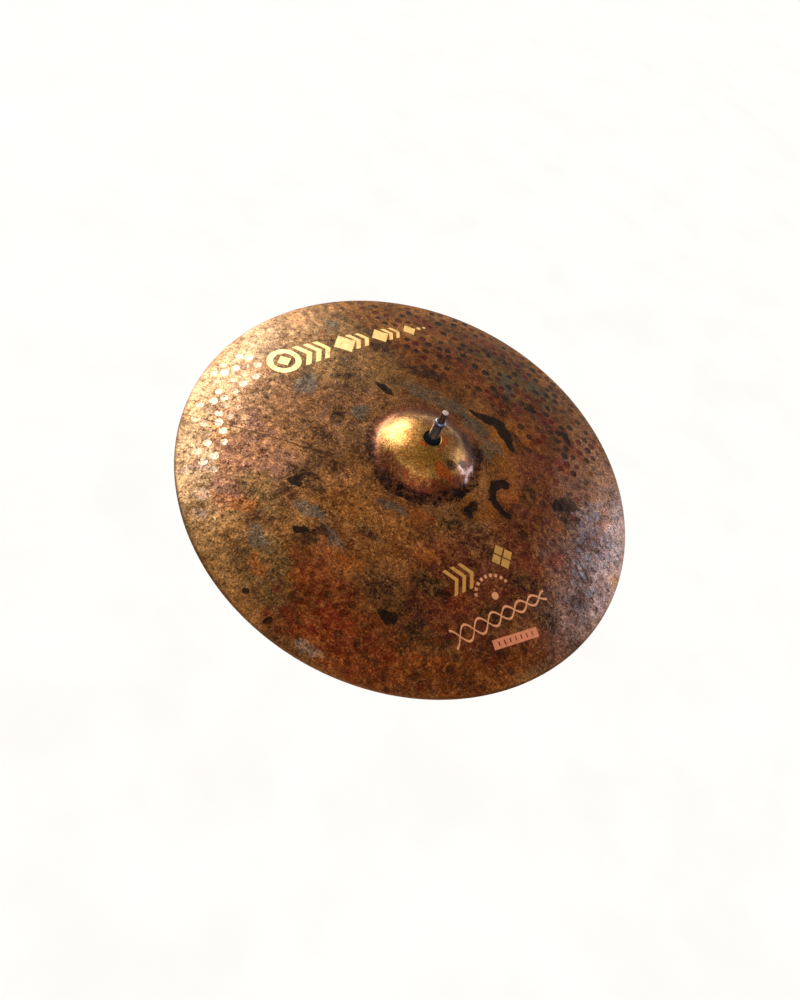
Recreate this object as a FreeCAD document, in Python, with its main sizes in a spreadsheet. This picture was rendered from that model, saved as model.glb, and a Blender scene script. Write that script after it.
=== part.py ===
"""Hammered bronze cymbal on the tilting mount of its stand, as separate parts.

Millimetres, +Z up.  The origin is the centre of the mouth of the socket that takes the stand tube, the
post and the cymbal stand on the Z axis, and the tilter's pivot runs along Y.
"""
import FreeCAD, Part
import math
import os
import re
import Sketcher

doc = FreeCAD.newDocument("CymbalOnTilter")

# ---------------------------------------------------------------- driving dimensions

DIMENSIONS = {
    # cymbal: one bowl of even thickness, made of three arcs, with a hole in its bell
    "edge_radius": 177.8,
    "edge_height": 47.4,
    "hole_height": 91.9,
    "hole_diameter": 13.4,
    "bow_radius": 600.0,
    "bell_radius": 46.2,
    "foot_radius": 11.0,
    "metal_thickness": 1.1,
    # post, with the thread of its tip drawn at the nominal diameter
    "post_diameter": 8.0,
    "post_foot": 63.0,
    "shoulder_height": 112.2,
    "shoulder_chamfer": 0.6,
    "tip_diameter": 5.0,
    "tip_height": 122.0,
    "tip_chamfer": 0.8,
    "press_gap": 0.02,
    # roll pin that holds the post in its boss
    "pin_height": 69.0,
    "pin_diameter": 3.0,
    "pin_bore": 1.8,
    "pin_length": 17.6,
    "pin_slot": 0.6,
    # sleeve, felt and cup washer, stacked on the boss
    "sleeve_diameter": 12.0,
    "sleeve_bore": 8.2,
    "sleeve_top": 91.3,
    "rest_gap": 0.1,
    "felt_diameter": 38.0,
    "felt_bore": 12.6,
    "felt_top": 87.8,
    "felt_round": 3.0,
    "cup_diameter": 40.0,
    "cup_flat": 27.0,
    "cup_rise": 1.6,
    "cup_bore": 8.4,
    "cup_thickness": 1.0,
    # lower knuckle, which clamps the stand tube
    "barrel_diameter": 22.0,
    "barrel_height": 30.0,
    "barrel_chamfer": 1.0,
    "socket_diameter": 16.0,
    "socket_depth": 24.0,
    "pad_diameter": 10.0,
    "pad_reach": 13.2,
    "grub_height": 12.0,
    "grub_diameter": 6.0,
    "grub_length": 5.0,
    "grub_key": 3.0,
    "grub_key_depth": 2.5,
    # pivot: two round lugs with a friction disc between them
    "pivot_height": 46.0,
    "lug_diameter": 26.0,
    "lug_gap": 1.0,
    "base_lug": 7.0,
    "head_lug": 9.0,
    "base_neck": 21.0,
    "head_neck": 15.0,
    "neck_overlap": 4.0,
    "edge_round": 1.2,
    "bolt_bore": 8.5,
    "disc_diameter": 24.0,
    "sliding_gap": 0.05,
    # upper knuckle
    "boss_foot": 60.0,
    "boss_top": 75.0,
    "boss_diameter": 18.0,
    "post_bore_depth": 12.0,
    # clamp screw, its wing grip, washers and nut
    "screw_diameter": 8.0,
    "screw_tip": 13.0,
    "screw_chamfer": 0.8,
    "nut_flats": 13.0,
    "nut_thickness": 6.5,
    "nut_bore": 8.1,
    "nut_chamfer": 0.7,
    "nut_pocket_depth": 5.0,
    "nut_pocket_flats": 13.2,
    "washer_bore": 8.4,
    "washer_diameter": 16.0,
    "washer_thickness": 1.6,
    "spring_diameter": 14.8,
    "spring_thickness": 2.0,
    "spring_slot": 1.2,
    "hub_diameter": 15.0,
    "hub_length": 12.0,
    "hub_end_diameter": 11.0,
    "screw_seat": 8.5,
    "wing_span": 18.5,
    "wing_thickness": 4.4,
    "wing_corner": 2.6,
    "wing_round": 1.2,
}

sheet = doc.addObject("Spreadsheet::Sheet", "Sizes")
for row, (alias, millimetres) in enumerate(DIMENSIONS.items(), start=1):
    sheet.set("A%d" % row, alias)
    sheet.set("B%d" % row, str(millimetres))
    sheet.setAlias("B%d" % row, alias)
doc.recompute()


def size(expression):
    """Add the sheet's name to the aliases in an expression written with bare aliases."""

    def named(match):
        word = match.group()
        return "Sizes." + word if word in DIMENSIONS else word

    return re.sub(r"[a-z_]+", named, expression)


def value(expression):
    """The present value of an expression in millimetres."""
    return float(sheet.evalExpression(size(expression)))


# ---------------------------------------------------------------- sketch helpers

def new_body(label, height=None):
    """Start a sub-part; height lifts its local origin along Z."""
    body = doc.addObject("PartDesign::Body", label)
    body.Label = label
    if height:
        body.setExpression(".Placement.Base.z", size(height))
    return body


def new_sketch(body, name, role, offset=None):
    """Attach a sketch to one of the body's own origin planes, moved along its normal by offset."""
    sketch = body.newObject("Sketcher::SketchObject", name)
    plane = next(item for item in body.Origin.OriginFeatures if item.Role == role)
    sketch.AttachmentSupport = (plane, [""])
    sketch.MapMode = "FlatFace"
    if offset:
        sketch.setExpression(".AttachmentOffset.Base.z", size(offset))
    return sketch


def bind(sketch, constraint, name, expression):
    """Add a dimension to a sketch and drive it from the sheet."""
    index = sketch.addConstraint(constraint)
    sketch.renameConstraint(index, name)
    sketch.setExpression("Constraints." + name, size(expression))


def place_point(sketch, geometry, point, x, y, name):
    """Tie one point of a sketch to the coordinates x and y."""
    across = Sketcher.Constraint("DistanceX", -1, 1, geometry, point, value(x))
    up = Sketcher.Constraint("DistanceY", -1, 1, geometry, point, value(y))
    bind(sketch, across, name + "_x", x)
    bind(sketch, up, name + "_y", y)


def polygon(sketch, corners, name="corner"):
    """Close an outline through corners, each a pair of expressions."""
    points = [FreeCAD.Vector(value(x), value(y), 0) for x, y in corners]
    count = len(points)
    first = sketch.GeometryCount
    for i in range(count):
        sketch.addGeometry(Part.LineSegment(points[i], points[(i + 1) % count]))
    for i in range(count):
        sketch.addConstraint(Sketcher.Constraint("Coincident", first + i, 2, first + (i + 1) % count, 1))
    for i, (x, y) in enumerate(corners):
        place_point(sketch, first + i, 1, x, y, "%s_%d" % (name, i))


def circle(sketch, diameter, x="0", y="0", name="circle"):
    """Draw a circle of a bound diameter about the point x, y."""
    centre = FreeCAD.Vector(value(x), value(y), 0)
    index = sketch.addGeometry(Part.Circle(centre, FreeCAD.Vector(0, 0, 1), value(diameter) / 2))
    place_point(sketch, index, 3, x, y, name)
    bind(sketch, Sketcher.Constraint("Diameter", index, value(diameter)), name + "_diameter", diameter)


def hexagon(sketch, across_flats, name="hexagon"):
    """Draw a hexagon about the sketch's origin."""
    corners = []
    for angle in range(0, 360, 60):
        spoke = "%s / 2 / cos(30) * " % across_flats
        corners.append((spoke + "cos(%d)" % angle, spoke + "sin(%d)" % angle))
    polygon(sketch, corners, name)


# ---------------------------------------------------------------- feature helpers

def pad(body, name, sketch, length, backwards=False, both_sides=False):
    """Pad a sketch along its normal, against it, or half to each side."""
    feature = body.newObject("PartDesign::Pad", name)
    feature.Profile = sketch
    feature.setExpression("Length", size(length))
    feature.Reversed = backwards
    feature.Midplane = both_sides
    doc.recompute()
    return feature


def pocket(body, name, sketch, depth, along_normal=False, both_sides=False):
    """Cut a sketch against its normal, along it, or half to each side, and check that it cut."""
    before = body.Shape.Volume
    feature = body.newObject("PartDesign::Pocket", name)
    feature.Profile = sketch
    feature.setExpression("Length", size(depth))
    feature.Reversed = along_normal
    feature.Midplane = both_sides
    doc.recompute()
    if body.Shape.Volume >= before:
        raise RuntimeError(name + " removed nothing")
    return feature


def revolve(body, name, sketch):
    """Turn a sketch all the way round its own vertical axis."""
    feature = body.newObject("PartDesign::Revolution", name)
    feature.Profile = sketch
    feature.ReferenceAxis = (sketch, ["V_Axis"])
    feature.Angle = 360.0
    doc.recompute()
    return feature


def groove(body, name, sketch):
    """Cut a sketch turned round its own vertical axis, and check that it cut."""
    before = body.Shape.Volume
    feature = body.newObject("PartDesign::Groove", name)
    feature.Profile = sketch
    feature.ReferenceAxis = (sketch, ["V_Axis"])
    feature.Angle = 360.0
    doc.recompute()
    if body.Shape.Volume >= before:
        raise RuntimeError(name + " removed nothing")
    return feature


def soften(body, kind, name, wanted, amount):
    """Fillet or chamfer the edges of the body's last feature for which wanted(edge) is true."""
    feature = body.Tip
    edges = ["Edge%d" % (i + 1) for i, edge in enumerate(feature.Shape.Edges) if wanted(edge)]
    if not edges:
        raise RuntimeError(name + " found no edge")
    softened = body.newObject(kind, name)
    softened.Base = (feature, edges)
    softened.setExpression("Radius" if kind.endswith("Fillet") else "Size", size(amount))
    doc.recompute()
    return softened


def lies_at(edge, axis, position):
    """True where an edge lies wholly in the plane at position along axis, 0 for X, 1 for Y, 2 for Z."""
    box = edge.BoundBox
    low = (box.XMin, box.YMin, box.ZMin)[axis]
    high = (box.XMax, box.YMax, box.ZMax)[axis]
    return abs(low - position) < 0.01 and abs(high - position) < 0.01


def ring(label, outer, inner, thickness, start, height):
    """A flat ring about the pivot axis, from start towards -Y."""
    body = new_body(label, height)
    outline = new_sketch(body, label + "_outline", "XZ_Plane", start)
    circle(outline, outer, name="outer")
    circle(outline, inner, name="inner")
    pad(body, label + "_ring", outline, thickness)
    return body


def turned(label, corners, height=None, plane="XZ_Plane"):
    """A body turned from a half outline, about Z on XZ_Plane or about Y on XY_Plane."""
    body = new_body(label, height)
    outline = new_sketch(body, label + "_outline", plane)
    polygon(outline, corners)
    revolve(body, label + "_turned", outline)
    return body


# ---------------------------------------------------------------- cymbal

def build_cymbal():
    """Bow, concave foot and domed bell as concentric pairs of tangent arcs, a metal thickness apart."""
    edge_r = value("edge_radius")
    hole_r = value("hole_diameter / 2")
    bow_r = value("bow_radius")
    bell_r = value("bell_radius")
    foot_r = value("foot_radius")
    thick = value("metal_thickness")
    bow_z = value("edge_height") - math.sqrt(bow_r ** 2 - edge_r ** 2)
    bell_z = value("hole_height") - math.sqrt(bell_r ** 2 - hole_r ** 2)
    rise = bell_z - bow_z
    foot_up = ((bow_r + foot_r) ** 2 - (bell_r + foot_r) ** 2 + rise ** 2) / (2 * rise)
    foot = FreeCAD.Vector(math.sqrt((bow_r + foot_r) ** 2 - foot_up ** 2), bow_z + foot_up, 0)
    bow = FreeCAD.Vector(0, bow_z, 0)
    bell = FreeCAD.Vector(0, bell_z, 0)
    bow_foot_angle = math.atan2(foot.y - bow.y, foot.x)
    bell_foot_angle = math.atan2(foot.y - bell.y, foot.x)

    body = new_body("cymbal")
    outline = new_sketch(body, "cymbal_outline", "XZ_Plane")
    axis = FreeCAD.Vector(0, 0, 1)

    def arc(centre, radius, start, end):
        return outline.addGeometry(Part.ArcOfCircle(Part.Circle(centre, axis, radius), start, end))

    def shell(inset):
        """The three arcs of one face of the metal, inset below the top face."""
        edge_angle = math.acos(edge_r / (bow_r - inset))
        hole_angle = math.acos(hole_r / (bell_r - inset))
        return (
            arc(bow, bow_r - inset, edge_angle, bow_foot_angle),
            arc(foot, foot_r + inset, bell_foot_angle + math.pi, bow_foot_angle + math.pi),
            arc(bell, bell_r - inset, bell_foot_angle, hole_angle),
        )

    bow_top, foot_top, bell_top = shell(0)
    bow_low, foot_low, bell_low = shell(thick)

    def ends(geometry):
        curve = outline.Geometry[geometry]
        return curve.StartPoint, curve.EndPoint

    rim = outline.addGeometry(Part.LineSegment(ends(bow_top)[0], ends(bow_low)[0]))
    bore = outline.addGeometry(Part.LineSegment(ends(bell_top)[1], ends(bell_low)[1]))

    constrain = outline.addConstraint
    for bow_arc, foot_arc, bell_arc in ((bow_top, foot_top, bell_top), (bow_low, foot_low, bell_low)):
        constrain(Sketcher.Constraint("Tangent", bow_arc, 2, foot_arc, 2))
        constrain(Sketcher.Constraint("Tangent", foot_arc, 1, bell_arc, 1))
    for top, low in ((bow_top, bow_low), (foot_top, foot_low), (bell_top, bell_low)):
        constrain(Sketcher.Constraint("Coincident", top, 3, low, 3))
    constrain(Sketcher.Constraint("PointOnObject", bow_top, 3, -2))
    constrain(Sketcher.Constraint("PointOnObject", bell_top, 3, -2))
    constrain(Sketcher.Constraint("Coincident", rim, 1, bow_top, 1))
    constrain(Sketcher.Constraint("Coincident", rim, 2, bow_low, 1))
    constrain(Sketcher.Constraint("Coincident", bore, 1, bell_top, 2))
    constrain(Sketcher.Constraint("Coincident", bore, 2, bell_low, 2))
    constrain(Sketcher.Constraint("Vertical", rim))
    constrain(Sketcher.Constraint("Vertical", bore))
    place_point(outline, rim, 1, "edge_radius", "edge_height", "edge")
    place_point(outline, bore, 1, "hole_diameter / 2", "hole_height", "hole")
    bind(outline, Sketcher.Constraint("Radius", bow_top, bow_r), "bow", "bow_radius")
    bind(outline, Sketcher.Constraint("Radius", foot_top, foot_r), "foot", "foot_radius")
    bind(outline, Sketcher.Constraint("Radius", bell_top, bell_r), "bell", "bell_radius")
    bind(outline, Sketcher.Constraint("Radius", bell_low, bell_r - thick), "inside",
         "bell_radius - metal_thickness")
    revolve(body, "cymbal_turned", outline)
    return body


# ---------------------------------------------------------------- post and what sits on it

def build_post():
    """Smooth shank with a threaded tip, cross-drilled near its foot."""
    body = turned("post", [
        ("0", "post_foot"),
        ("post_diameter / 2", "post_foot"),
        ("post_diameter / 2", "shoulder_height - shoulder_chamfer"),
        ("post_diameter / 2 - shoulder_chamfer", "shoulder_height"),
        ("tip_diameter / 2", "shoulder_height"),
        ("tip_diameter / 2", "tip_height - tip_chamfer"),
        ("tip_diameter / 2 - tip_chamfer", "tip_height"),
        ("0", "tip_height"),
    ])
    cross = new_sketch(body, "post_cross_hole", "YZ_Plane")
    circle(cross, "pin_diameter", "0", "pin_height", "cross")
    pocket(body, "post_cross_drilling", cross, "boss_diameter", both_sides=True)
    return body


def build_roll_pin():
    """Slotted spring-steel tube through the boss and the post."""
    body = new_body("roll_pin", "pin_height")
    outline = new_sketch(body, "roll_pin_outline", "YZ_Plane")
    circle(outline, "pin_diameter - 2 * press_gap", name="outer")
    circle(outline, "pin_bore", name="inner")
    pad(body, "roll_pin_tube", outline, "pin_length", both_sides=True)
    slot = new_sketch(body, "roll_pin_slot", "YZ_Plane")
    polygon(slot, [
        ("-pin_slot / 2", "0"),
        ("pin_slot / 2", "0"),
        ("pin_slot / 2", "pin_diameter"),
        ("-pin_slot / 2", "pin_diameter"),
    ])
    pocket(body, "roll_pin_slotting", slot, "boss_diameter + pin_length", both_sides=True)
    return body


def build_sleeve():
    """Nylon tube that keeps the hole's edge off the post."""
    return turned("sleeve", [
        ("sleeve_bore / 2", "boss_top + cup_thickness + rest_gap"),
        ("sleeve_diameter / 2", "boss_top + cup_thickness + rest_gap"),
        ("sleeve_diameter / 2", "sleeve_top"),
        ("sleeve_bore / 2", "sleeve_top"),
    ])


def build_felt():
    """Thick felt ring, bevelled below to sit in the cup and rounded above to meet the bell."""
    body = turned("lower_felt", [
        ("felt_bore / 2", "boss_top + cup_thickness"),
        ("cup_flat / 2", "boss_top + cup_thickness"),
        ("felt_diameter / 2",
         "boss_top + cup_thickness + cup_rise * (felt_diameter - cup_flat) / (cup_diameter - cup_flat)"),
        ("felt_diameter / 2", "felt_top"),
        ("felt_bore / 2", "felt_top"),
    ])
    outer = value("felt_diameter / 2")
    top = value("felt_top")

    def outer_rim(edge):
        return lies_at(edge, 2, top) and edge.BoundBox.XMax > outer - 0.01

    soften(body, "PartDesign::Fillet", "felt_rounding", outer_rim, "felt_round")
    return body


def build_cup_washer():
    """Pressed steel saucer under the felt, its rim turned up."""
    return turned("cup_washer", [
        ("cup_bore / 2", "boss_top"),
        ("cup_flat / 2", "boss_top"),
        ("cup_diameter / 2", "boss_top + cup_rise"),
        ("cup_diameter / 2", "boss_top + cup_rise + cup_thickness"),
        ("cup_flat / 2", "boss_top + cup_thickness"),
        ("cup_bore / 2", "boss_top + cup_thickness"),
    ])


# ---------------------------------------------------------------- knuckles of the tilter

def lug_outline(sketch, neck_width, neck_end):
    """A round lug about the pivot, running tangentially into a neck that ends at neck_end."""
    radius = value("lug_diameter / 2")
    pivot = value("pivot_height")
    half_neck = value(neck_width) / 2
    end = value(neck_end)
    reach = math.hypot(half_neck, end - pivot)
    side = 1 if end > pivot else -1
    tangent = math.acos(radius / reach) + math.atan2(half_neck, abs(end - pivot))
    touch_x = radius * math.sin(tangent)
    touch_y = pivot + side * radius * math.cos(tangent)

    centre = FreeCAD.Vector(0, pivot, 0)
    left_touch = FreeCAD.Vector(-touch_x, touch_y, 0)
    right_touch = FreeCAD.Vector(touch_x, touch_y, 0)
    left_end = FreeCAD.Vector(-half_neck, end, 0)
    right_end = FreeCAD.Vector(half_neck, end, 0)
    start = math.atan2(touch_y - pivot, touch_x)
    stop = math.pi - start
    if side > 0:
        start, stop = stop, start
    if stop < start:
        stop += 2 * math.pi
    rounded = Part.ArcOfCircle(Part.Circle(centre, FreeCAD.Vector(0, 0, 1), radius), start, stop)
    disc = sketch.addGeometry(rounded)
    right = sketch.addGeometry(Part.LineSegment(right_touch, right_end))
    foot = sketch.addGeometry(Part.LineSegment(right_end, left_end))
    left = sketch.addGeometry(Part.LineSegment(left_end, left_touch))
    right_point, left_point = (2, 1) if side > 0 else (1, 2)
    sketch.addConstraint(Sketcher.Constraint("Tangent", disc, right_point, right, 1))
    sketch.addConstraint(Sketcher.Constraint("Tangent", disc, left_point, left, 2))
    sketch.addConstraint(Sketcher.Constraint("Coincident", right, 2, foot, 1))
    sketch.addConstraint(Sketcher.Constraint("Coincident", foot, 2, left, 1))
    place_point(sketch, disc, 3, "0", "pivot_height", "pivot")
    place_point(sketch, foot, 1, neck_width + " / 2", neck_end, "neck_right")
    place_point(sketch, foot, 2, "-%s / 2" % neck_width, neck_end, "neck_left")
    bind(sketch, Sketcher.Constraint("Radius", disc, radius), "lug", "lug_diameter / 2")
    circle(sketch, "bolt_bore", "0", "pivot_height", "bolt")


def build_tilter_base():
    """Lower knuckle: barrel with the tube socket, a pad for the set screw and one lug on the -Y side."""
    body = new_body("tilter_base")
    barrel = new_sketch(body, "barrel_outline", "XY_Plane")
    circle(barrel, "barrel_diameter")
    pad(body, "barrel", barrel, "barrel_height")
    lug = new_sketch(body, "base_lug_outline", "XZ_Plane", "lug_gap")
    lug_outline(lug, "base_neck", "barrel_height - neck_overlap")
    pad(body, "base_lug_pad", lug, "base_lug")
    raised = new_sketch(body, "screw_pad_outline", "XZ_Plane", "-pad_reach")
    circle(raised, "pad_diameter", "0", "grub_height")
    pad(body, "screw_pad", raised, "pad_reach - socket_diameter / 2")

    outside = -value("lug_gap + base_lug")

    def lug_face(edge):
        return lies_at(edge, 1, outside) and edge.BoundBox.XLength > value("bolt_bore") + 1

    soften(body, "PartDesign::Fillet", "base_lug_rounding", lug_face, "edge_round")

    def barrel_foot(edge):
        return lies_at(edge, 2, 0.0)

    soften(body, "PartDesign::Chamfer", "barrel_chamfering", barrel_foot, "barrel_chamfer")
    socket = new_sketch(body, "socket_outline", "XY_Plane")
    circle(socket, "socket_diameter")
    pocket(body, "tube_socket", socket, "socket_depth", along_normal=True)
    screw_hole = new_sketch(body, "screw_hole_outline", "XZ_Plane")
    circle(screw_hole, "grub_diameter", "0", "grub_height")
    pocket(body, "screw_hole", screw_hole, "pad_reach + barrel_diameter / 2")
    return body


def build_tilter_head():
    """Upper knuckle: one lug on the +Y side with a hexagonal nut pocket, and a boss for the post."""
    body = new_body("tilter_head")
    boss = new_sketch(body, "boss_outline", "XY_Plane", "boss_foot")
    circle(boss, "boss_diameter")
    pad(body, "boss", boss, "boss_top - boss_foot")
    lug = new_sketch(body, "head_lug_outline", "XZ_Plane", "-lug_gap")
    lug_outline(lug, "head_neck", "boss_foot + neck_overlap")
    pad(body, "head_lug_pad", lug, "head_lug", backwards=True)

    outside = value("lug_gap + head_lug")

    def lug_face(edge):
        return lies_at(edge, 1, outside) and edge.BoundBox.XLength > value("bolt_bore") + 1

    soften(body, "PartDesign::Fillet", "head_lug_rounding", lug_face, "edge_round")
    bore = new_sketch(body, "post_bore_outline", "XY_Plane", "boss_top")
    circle(bore, "post_diameter + 2 * press_gap")
    pocket(body, "post_bore", bore, "post_bore_depth")
    cross = new_sketch(body, "boss_cross_outline", "YZ_Plane")
    circle(cross, "pin_diameter", "0", "pin_height")
    pocket(body, "boss_cross_drilling", cross, "boss_diameter + pin_length", both_sides=True)
    recess = new_sketch(body, "nut_pocket_outline", "XZ_Plane", "-(lug_gap + head_lug)")
    recess.setExpression(".AttachmentOffset.Base.y", size("pivot_height"))
    hexagon(recess, "nut_pocket_flats")
    pocket(body, "nut_pocket", recess, "nut_pocket_depth", along_normal=True)
    return body


def build_set_screw():
    """Hexagon-socket grub screw that clamps the stand tube, backed off flush with the bore."""
    inner = "socket_diameter / 2 + rest_gap"
    body = turned("socket_set_screw", [
        ("0", inner),
        ("grub_diameter / 2 - sliding_gap", inner),
        ("grub_diameter / 2 - sliding_gap", inner + " + grub_length"),
        ("0", inner + " + grub_length"),
    ], "grub_height", "XY_Plane")
    key = new_sketch(body, "key_outline", "XZ_Plane", "-(socket_diameter / 2 + rest_gap + grub_length)")
    hexagon(key, "grub_key")
    pocket(body, "key_socket", key, "grub_key_depth", along_normal=True)
    return body


# ---------------------------------------------------------------- clamp across the pivot

def build_friction_disc():
    """Fibre disc held between the lugs."""
    thickness = "2 * lug_gap - sliding_gap"
    return ring("friction_disc", "disc_diameter", "bolt_bore", thickness,
                "-(lug_gap - sliding_gap)", "pivot_height")


def build_flat_washer():
    """Plain washer against the base lug."""
    return ring("flat_washer", "washer_diameter", "washer_bore", "washer_thickness",
                "lug_gap + base_lug", "pivot_height")


def build_spring_washer():
    """Split lock washer between the wing grip and the plain washer."""
    start = "lug_gap + base_lug + washer_thickness + sliding_gap"
    body = ring("spring_washer", "spring_diameter", "washer_bore", "spring_thickness",
                start, "pivot_height")
    slot = new_sketch(body, "spring_slot_outline", "XZ_Plane")
    polygon(slot, [
        ("-spring_slot / 2", "0"),
        ("spring_slot / 2", "0"),
        ("spring_slot / 2", "spring_diameter"),
        ("-spring_slot / 2", "spring_diameter"),
    ])
    pocket(body, "spring_slotting", slot, "2 * (spring_diameter + hub_length)", both_sides=True)
    return body


# where the wing grip starts, as a distance from the middle of the pivot towards -Y
GRIP_START = "lug_gap + base_lug + washer_thickness + sliding_gap + spring_thickness"


def build_wing_grip():
    """Die-cast grip: a tapered hub with two rounded wings that flare outwards."""
    start = GRIP_START
    body = turned("wing_grip", [
        ("screw_diameter / 2 + press_gap", "-(%s)" % start),
        ("hub_diameter / 2", "-(%s)" % start),
        ("hub_end_diameter / 2", "-(%s + hub_length)" % start),
        ("0", "-(%s + hub_length)" % start),
        ("0", "-(%s + screw_seat)" % start),
        ("screw_diameter / 2 + press_gap", "-(%s + screw_seat)" % start),
    ], "pivot_height", "XY_Plane")
    wing = new_sketch(body, "wing_outline", "XY_Plane")
    polygon(wing, [
        ("screw_diameter / 2 + 4 * wing_round / 3", "-(%s + 2 * wing_round)" % start),
        ("hub_diameter / 2 + wing_round", "-(%s + 2 * wing_round)" % start),
        ("wing_span - wing_round", "-(%s + hub_length / 2 + wing_round)" % start),
        ("wing_span", "-(%s + hub_length + wing_corner)" % start),
        ("wing_span - 2 * wing_corner", "-(%s + hub_length + 2 * wing_corner)" % start),
        ("hub_diameter / 2 + wing_round", "-(%s + hub_length - wing_corner)" % start),
        ("screw_diameter / 2 + 4 * wing_round / 3", "-(%s + hub_length - wing_corner)" % start),
    ])
    right_wing = pad(body, "right_wing", wing, "wing_thickness", both_sides=True)
    mirror = body.newObject("PartDesign::Mirrored", "both_wings")
    mirror.Originals = [right_wing]
    mirror.MirrorPlane = (wing, ["V_Axis"])
    body.Tip = mirror
    doc.recompute()
    hub_reach = value("hub_diameter / 2 + 2 * wing_round")

    def wing_corner(edge):
        upright = edge.BoundBox.ZLength > value("wing_thickness") - 0.01 and edge.BoundBox.XLength < 0.01
        return upright and abs(edge.CenterOfMass.x) > hub_reach

    soften(body, "PartDesign::Fillet", "wing_corner_rounding", wing_corner, "wing_corner")
    half = value("wing_thickness / 2")
    lift = value("pivot_height")

    def wing_face(edge):
        flat = lies_at(edge, 2, half) or lies_at(edge, 2, -half)
        flat = flat or lies_at(edge, 2, lift + half) or lies_at(edge, 2, lift - half)
        return flat and abs(edge.CenterOfMass.x) > hub_reach

    soften(body, "PartDesign::Fillet", "wing_face_rounding", wing_face, "wing_round")
    return body


def build_clamp_screw():
    """Screw cast into the wing grip, through both lugs and the nut."""
    seat = "-(%s + screw_seat - rest_gap)" % GRIP_START
    return turned("clamp_screw", [
        ("0", seat),
        ("screw_diameter / 2", seat),
        ("screw_diameter / 2", "screw_tip - screw_chamfer"),
        ("screw_diameter / 2 - screw_chamfer", "screw_tip"),
        ("0", "screw_tip"),
    ], "pivot_height", "XY_Plane")


def build_hex_nut():
    """Nut held from turning in the head's pocket, its outer corners turned off."""
    inner_face = "lug_gap + head_lug - nut_pocket_depth"
    body = new_body("hex_nut", "pivot_height")
    outline = new_sketch(body, "nut_outline", "XZ_Plane", "-(%s)" % inner_face)
    hexagon(outline, "nut_flats")
    circle(outline, "nut_bore")
    pad(body, "nut_blank", outline, "nut_thickness", backwards=True)
    turning = new_sketch(body, "nut_turning_outline", "XY_Plane")
    outer_face = inner_face + " + nut_thickness"
    polygon(turning, [
        ("nut_flats / 2", outer_face + " + nut_chamfer / 4"),
        ("nut_flats / 2 + 2 * nut_chamfer", outer_face + " + nut_chamfer / 4"),
        ("nut_flats / 2 + 2 * nut_chamfer", outer_face + " - nut_chamfer"),
    ])
    groove(body, "nut_turning", turning)
    return body


# ---------------------------------------------------------------- build, check and write

BUILDERS = (
    build_tilter_base,
    build_set_screw,
    build_tilter_head,
    build_friction_disc,
    build_clamp_screw,
    build_wing_grip,
    build_spring_washer,
    build_flat_washer,
    build_hex_nut,
    build_post,
    build_roll_pin,
    build_cup_washer,
    build_felt,
    build_sleeve,
    build_cymbal,
)

bodies = [build() for build in BUILDERS]
doc.recompute()

for item in doc.Objects:
    if "Invalid" in item.State or "Error" in item.State:
        raise RuntimeError("%s did not build: %s" % (item.Label, item.State))
for body in bodies:
    if body.Shape.isNull() or not body.Shape.isValid() or len(body.Shape.Solids) != 1:
        raise RuntimeError(body.Label + " is not one valid solid")

os.makedirs("parts", exist_ok=True)
for body in bodies:
    body.Shape.exportStep(os.path.join("parts", body.Label + ".step"))
    print("%-18s %10.1f mm3" % (body.Label, body.Shape.Volume))
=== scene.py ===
"""Looks for the hammered cymbal on its tilting mount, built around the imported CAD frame.  Metres, +Z up.

The cymbal is remade as a dense shell with modelled hammer marks, the post and the clamp screw get modelled
threads, and the felt gets its fibres.  The other parts keep their CAD shape and take a material.  The patina
is laid out in plan, in millimetres from the cymbal's axis, with +X to the right and +Y away from the viewer.
"""
import math
import random

import bpy
import numpy as np
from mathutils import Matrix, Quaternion, Vector, noise
from mathutils.kdtree import KDTree


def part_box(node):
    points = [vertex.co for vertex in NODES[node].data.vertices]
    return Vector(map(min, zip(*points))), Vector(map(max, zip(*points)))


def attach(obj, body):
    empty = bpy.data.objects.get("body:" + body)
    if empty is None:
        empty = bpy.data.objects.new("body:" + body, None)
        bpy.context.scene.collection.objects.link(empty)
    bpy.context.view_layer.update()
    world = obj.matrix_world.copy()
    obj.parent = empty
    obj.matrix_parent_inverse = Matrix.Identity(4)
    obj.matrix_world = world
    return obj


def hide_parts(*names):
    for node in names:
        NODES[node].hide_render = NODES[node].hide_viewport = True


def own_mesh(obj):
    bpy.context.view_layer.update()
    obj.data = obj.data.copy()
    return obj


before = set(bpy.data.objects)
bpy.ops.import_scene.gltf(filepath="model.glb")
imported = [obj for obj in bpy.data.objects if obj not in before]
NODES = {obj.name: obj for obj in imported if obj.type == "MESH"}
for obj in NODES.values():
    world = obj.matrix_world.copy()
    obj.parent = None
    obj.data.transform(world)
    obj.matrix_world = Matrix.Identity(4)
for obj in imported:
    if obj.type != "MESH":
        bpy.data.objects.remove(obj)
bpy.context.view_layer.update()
MM = 0.001

# ---------------------------------------------------------------- sizes, in metres

CYMBAL_LOW, CYMBAL_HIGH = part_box("cymbal")
POST_LOW, POST_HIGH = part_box("post")
FELT_LOW, FELT_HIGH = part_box("lower_felt")
SCREW_LOW, SCREW_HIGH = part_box("clamp_screw")

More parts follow.
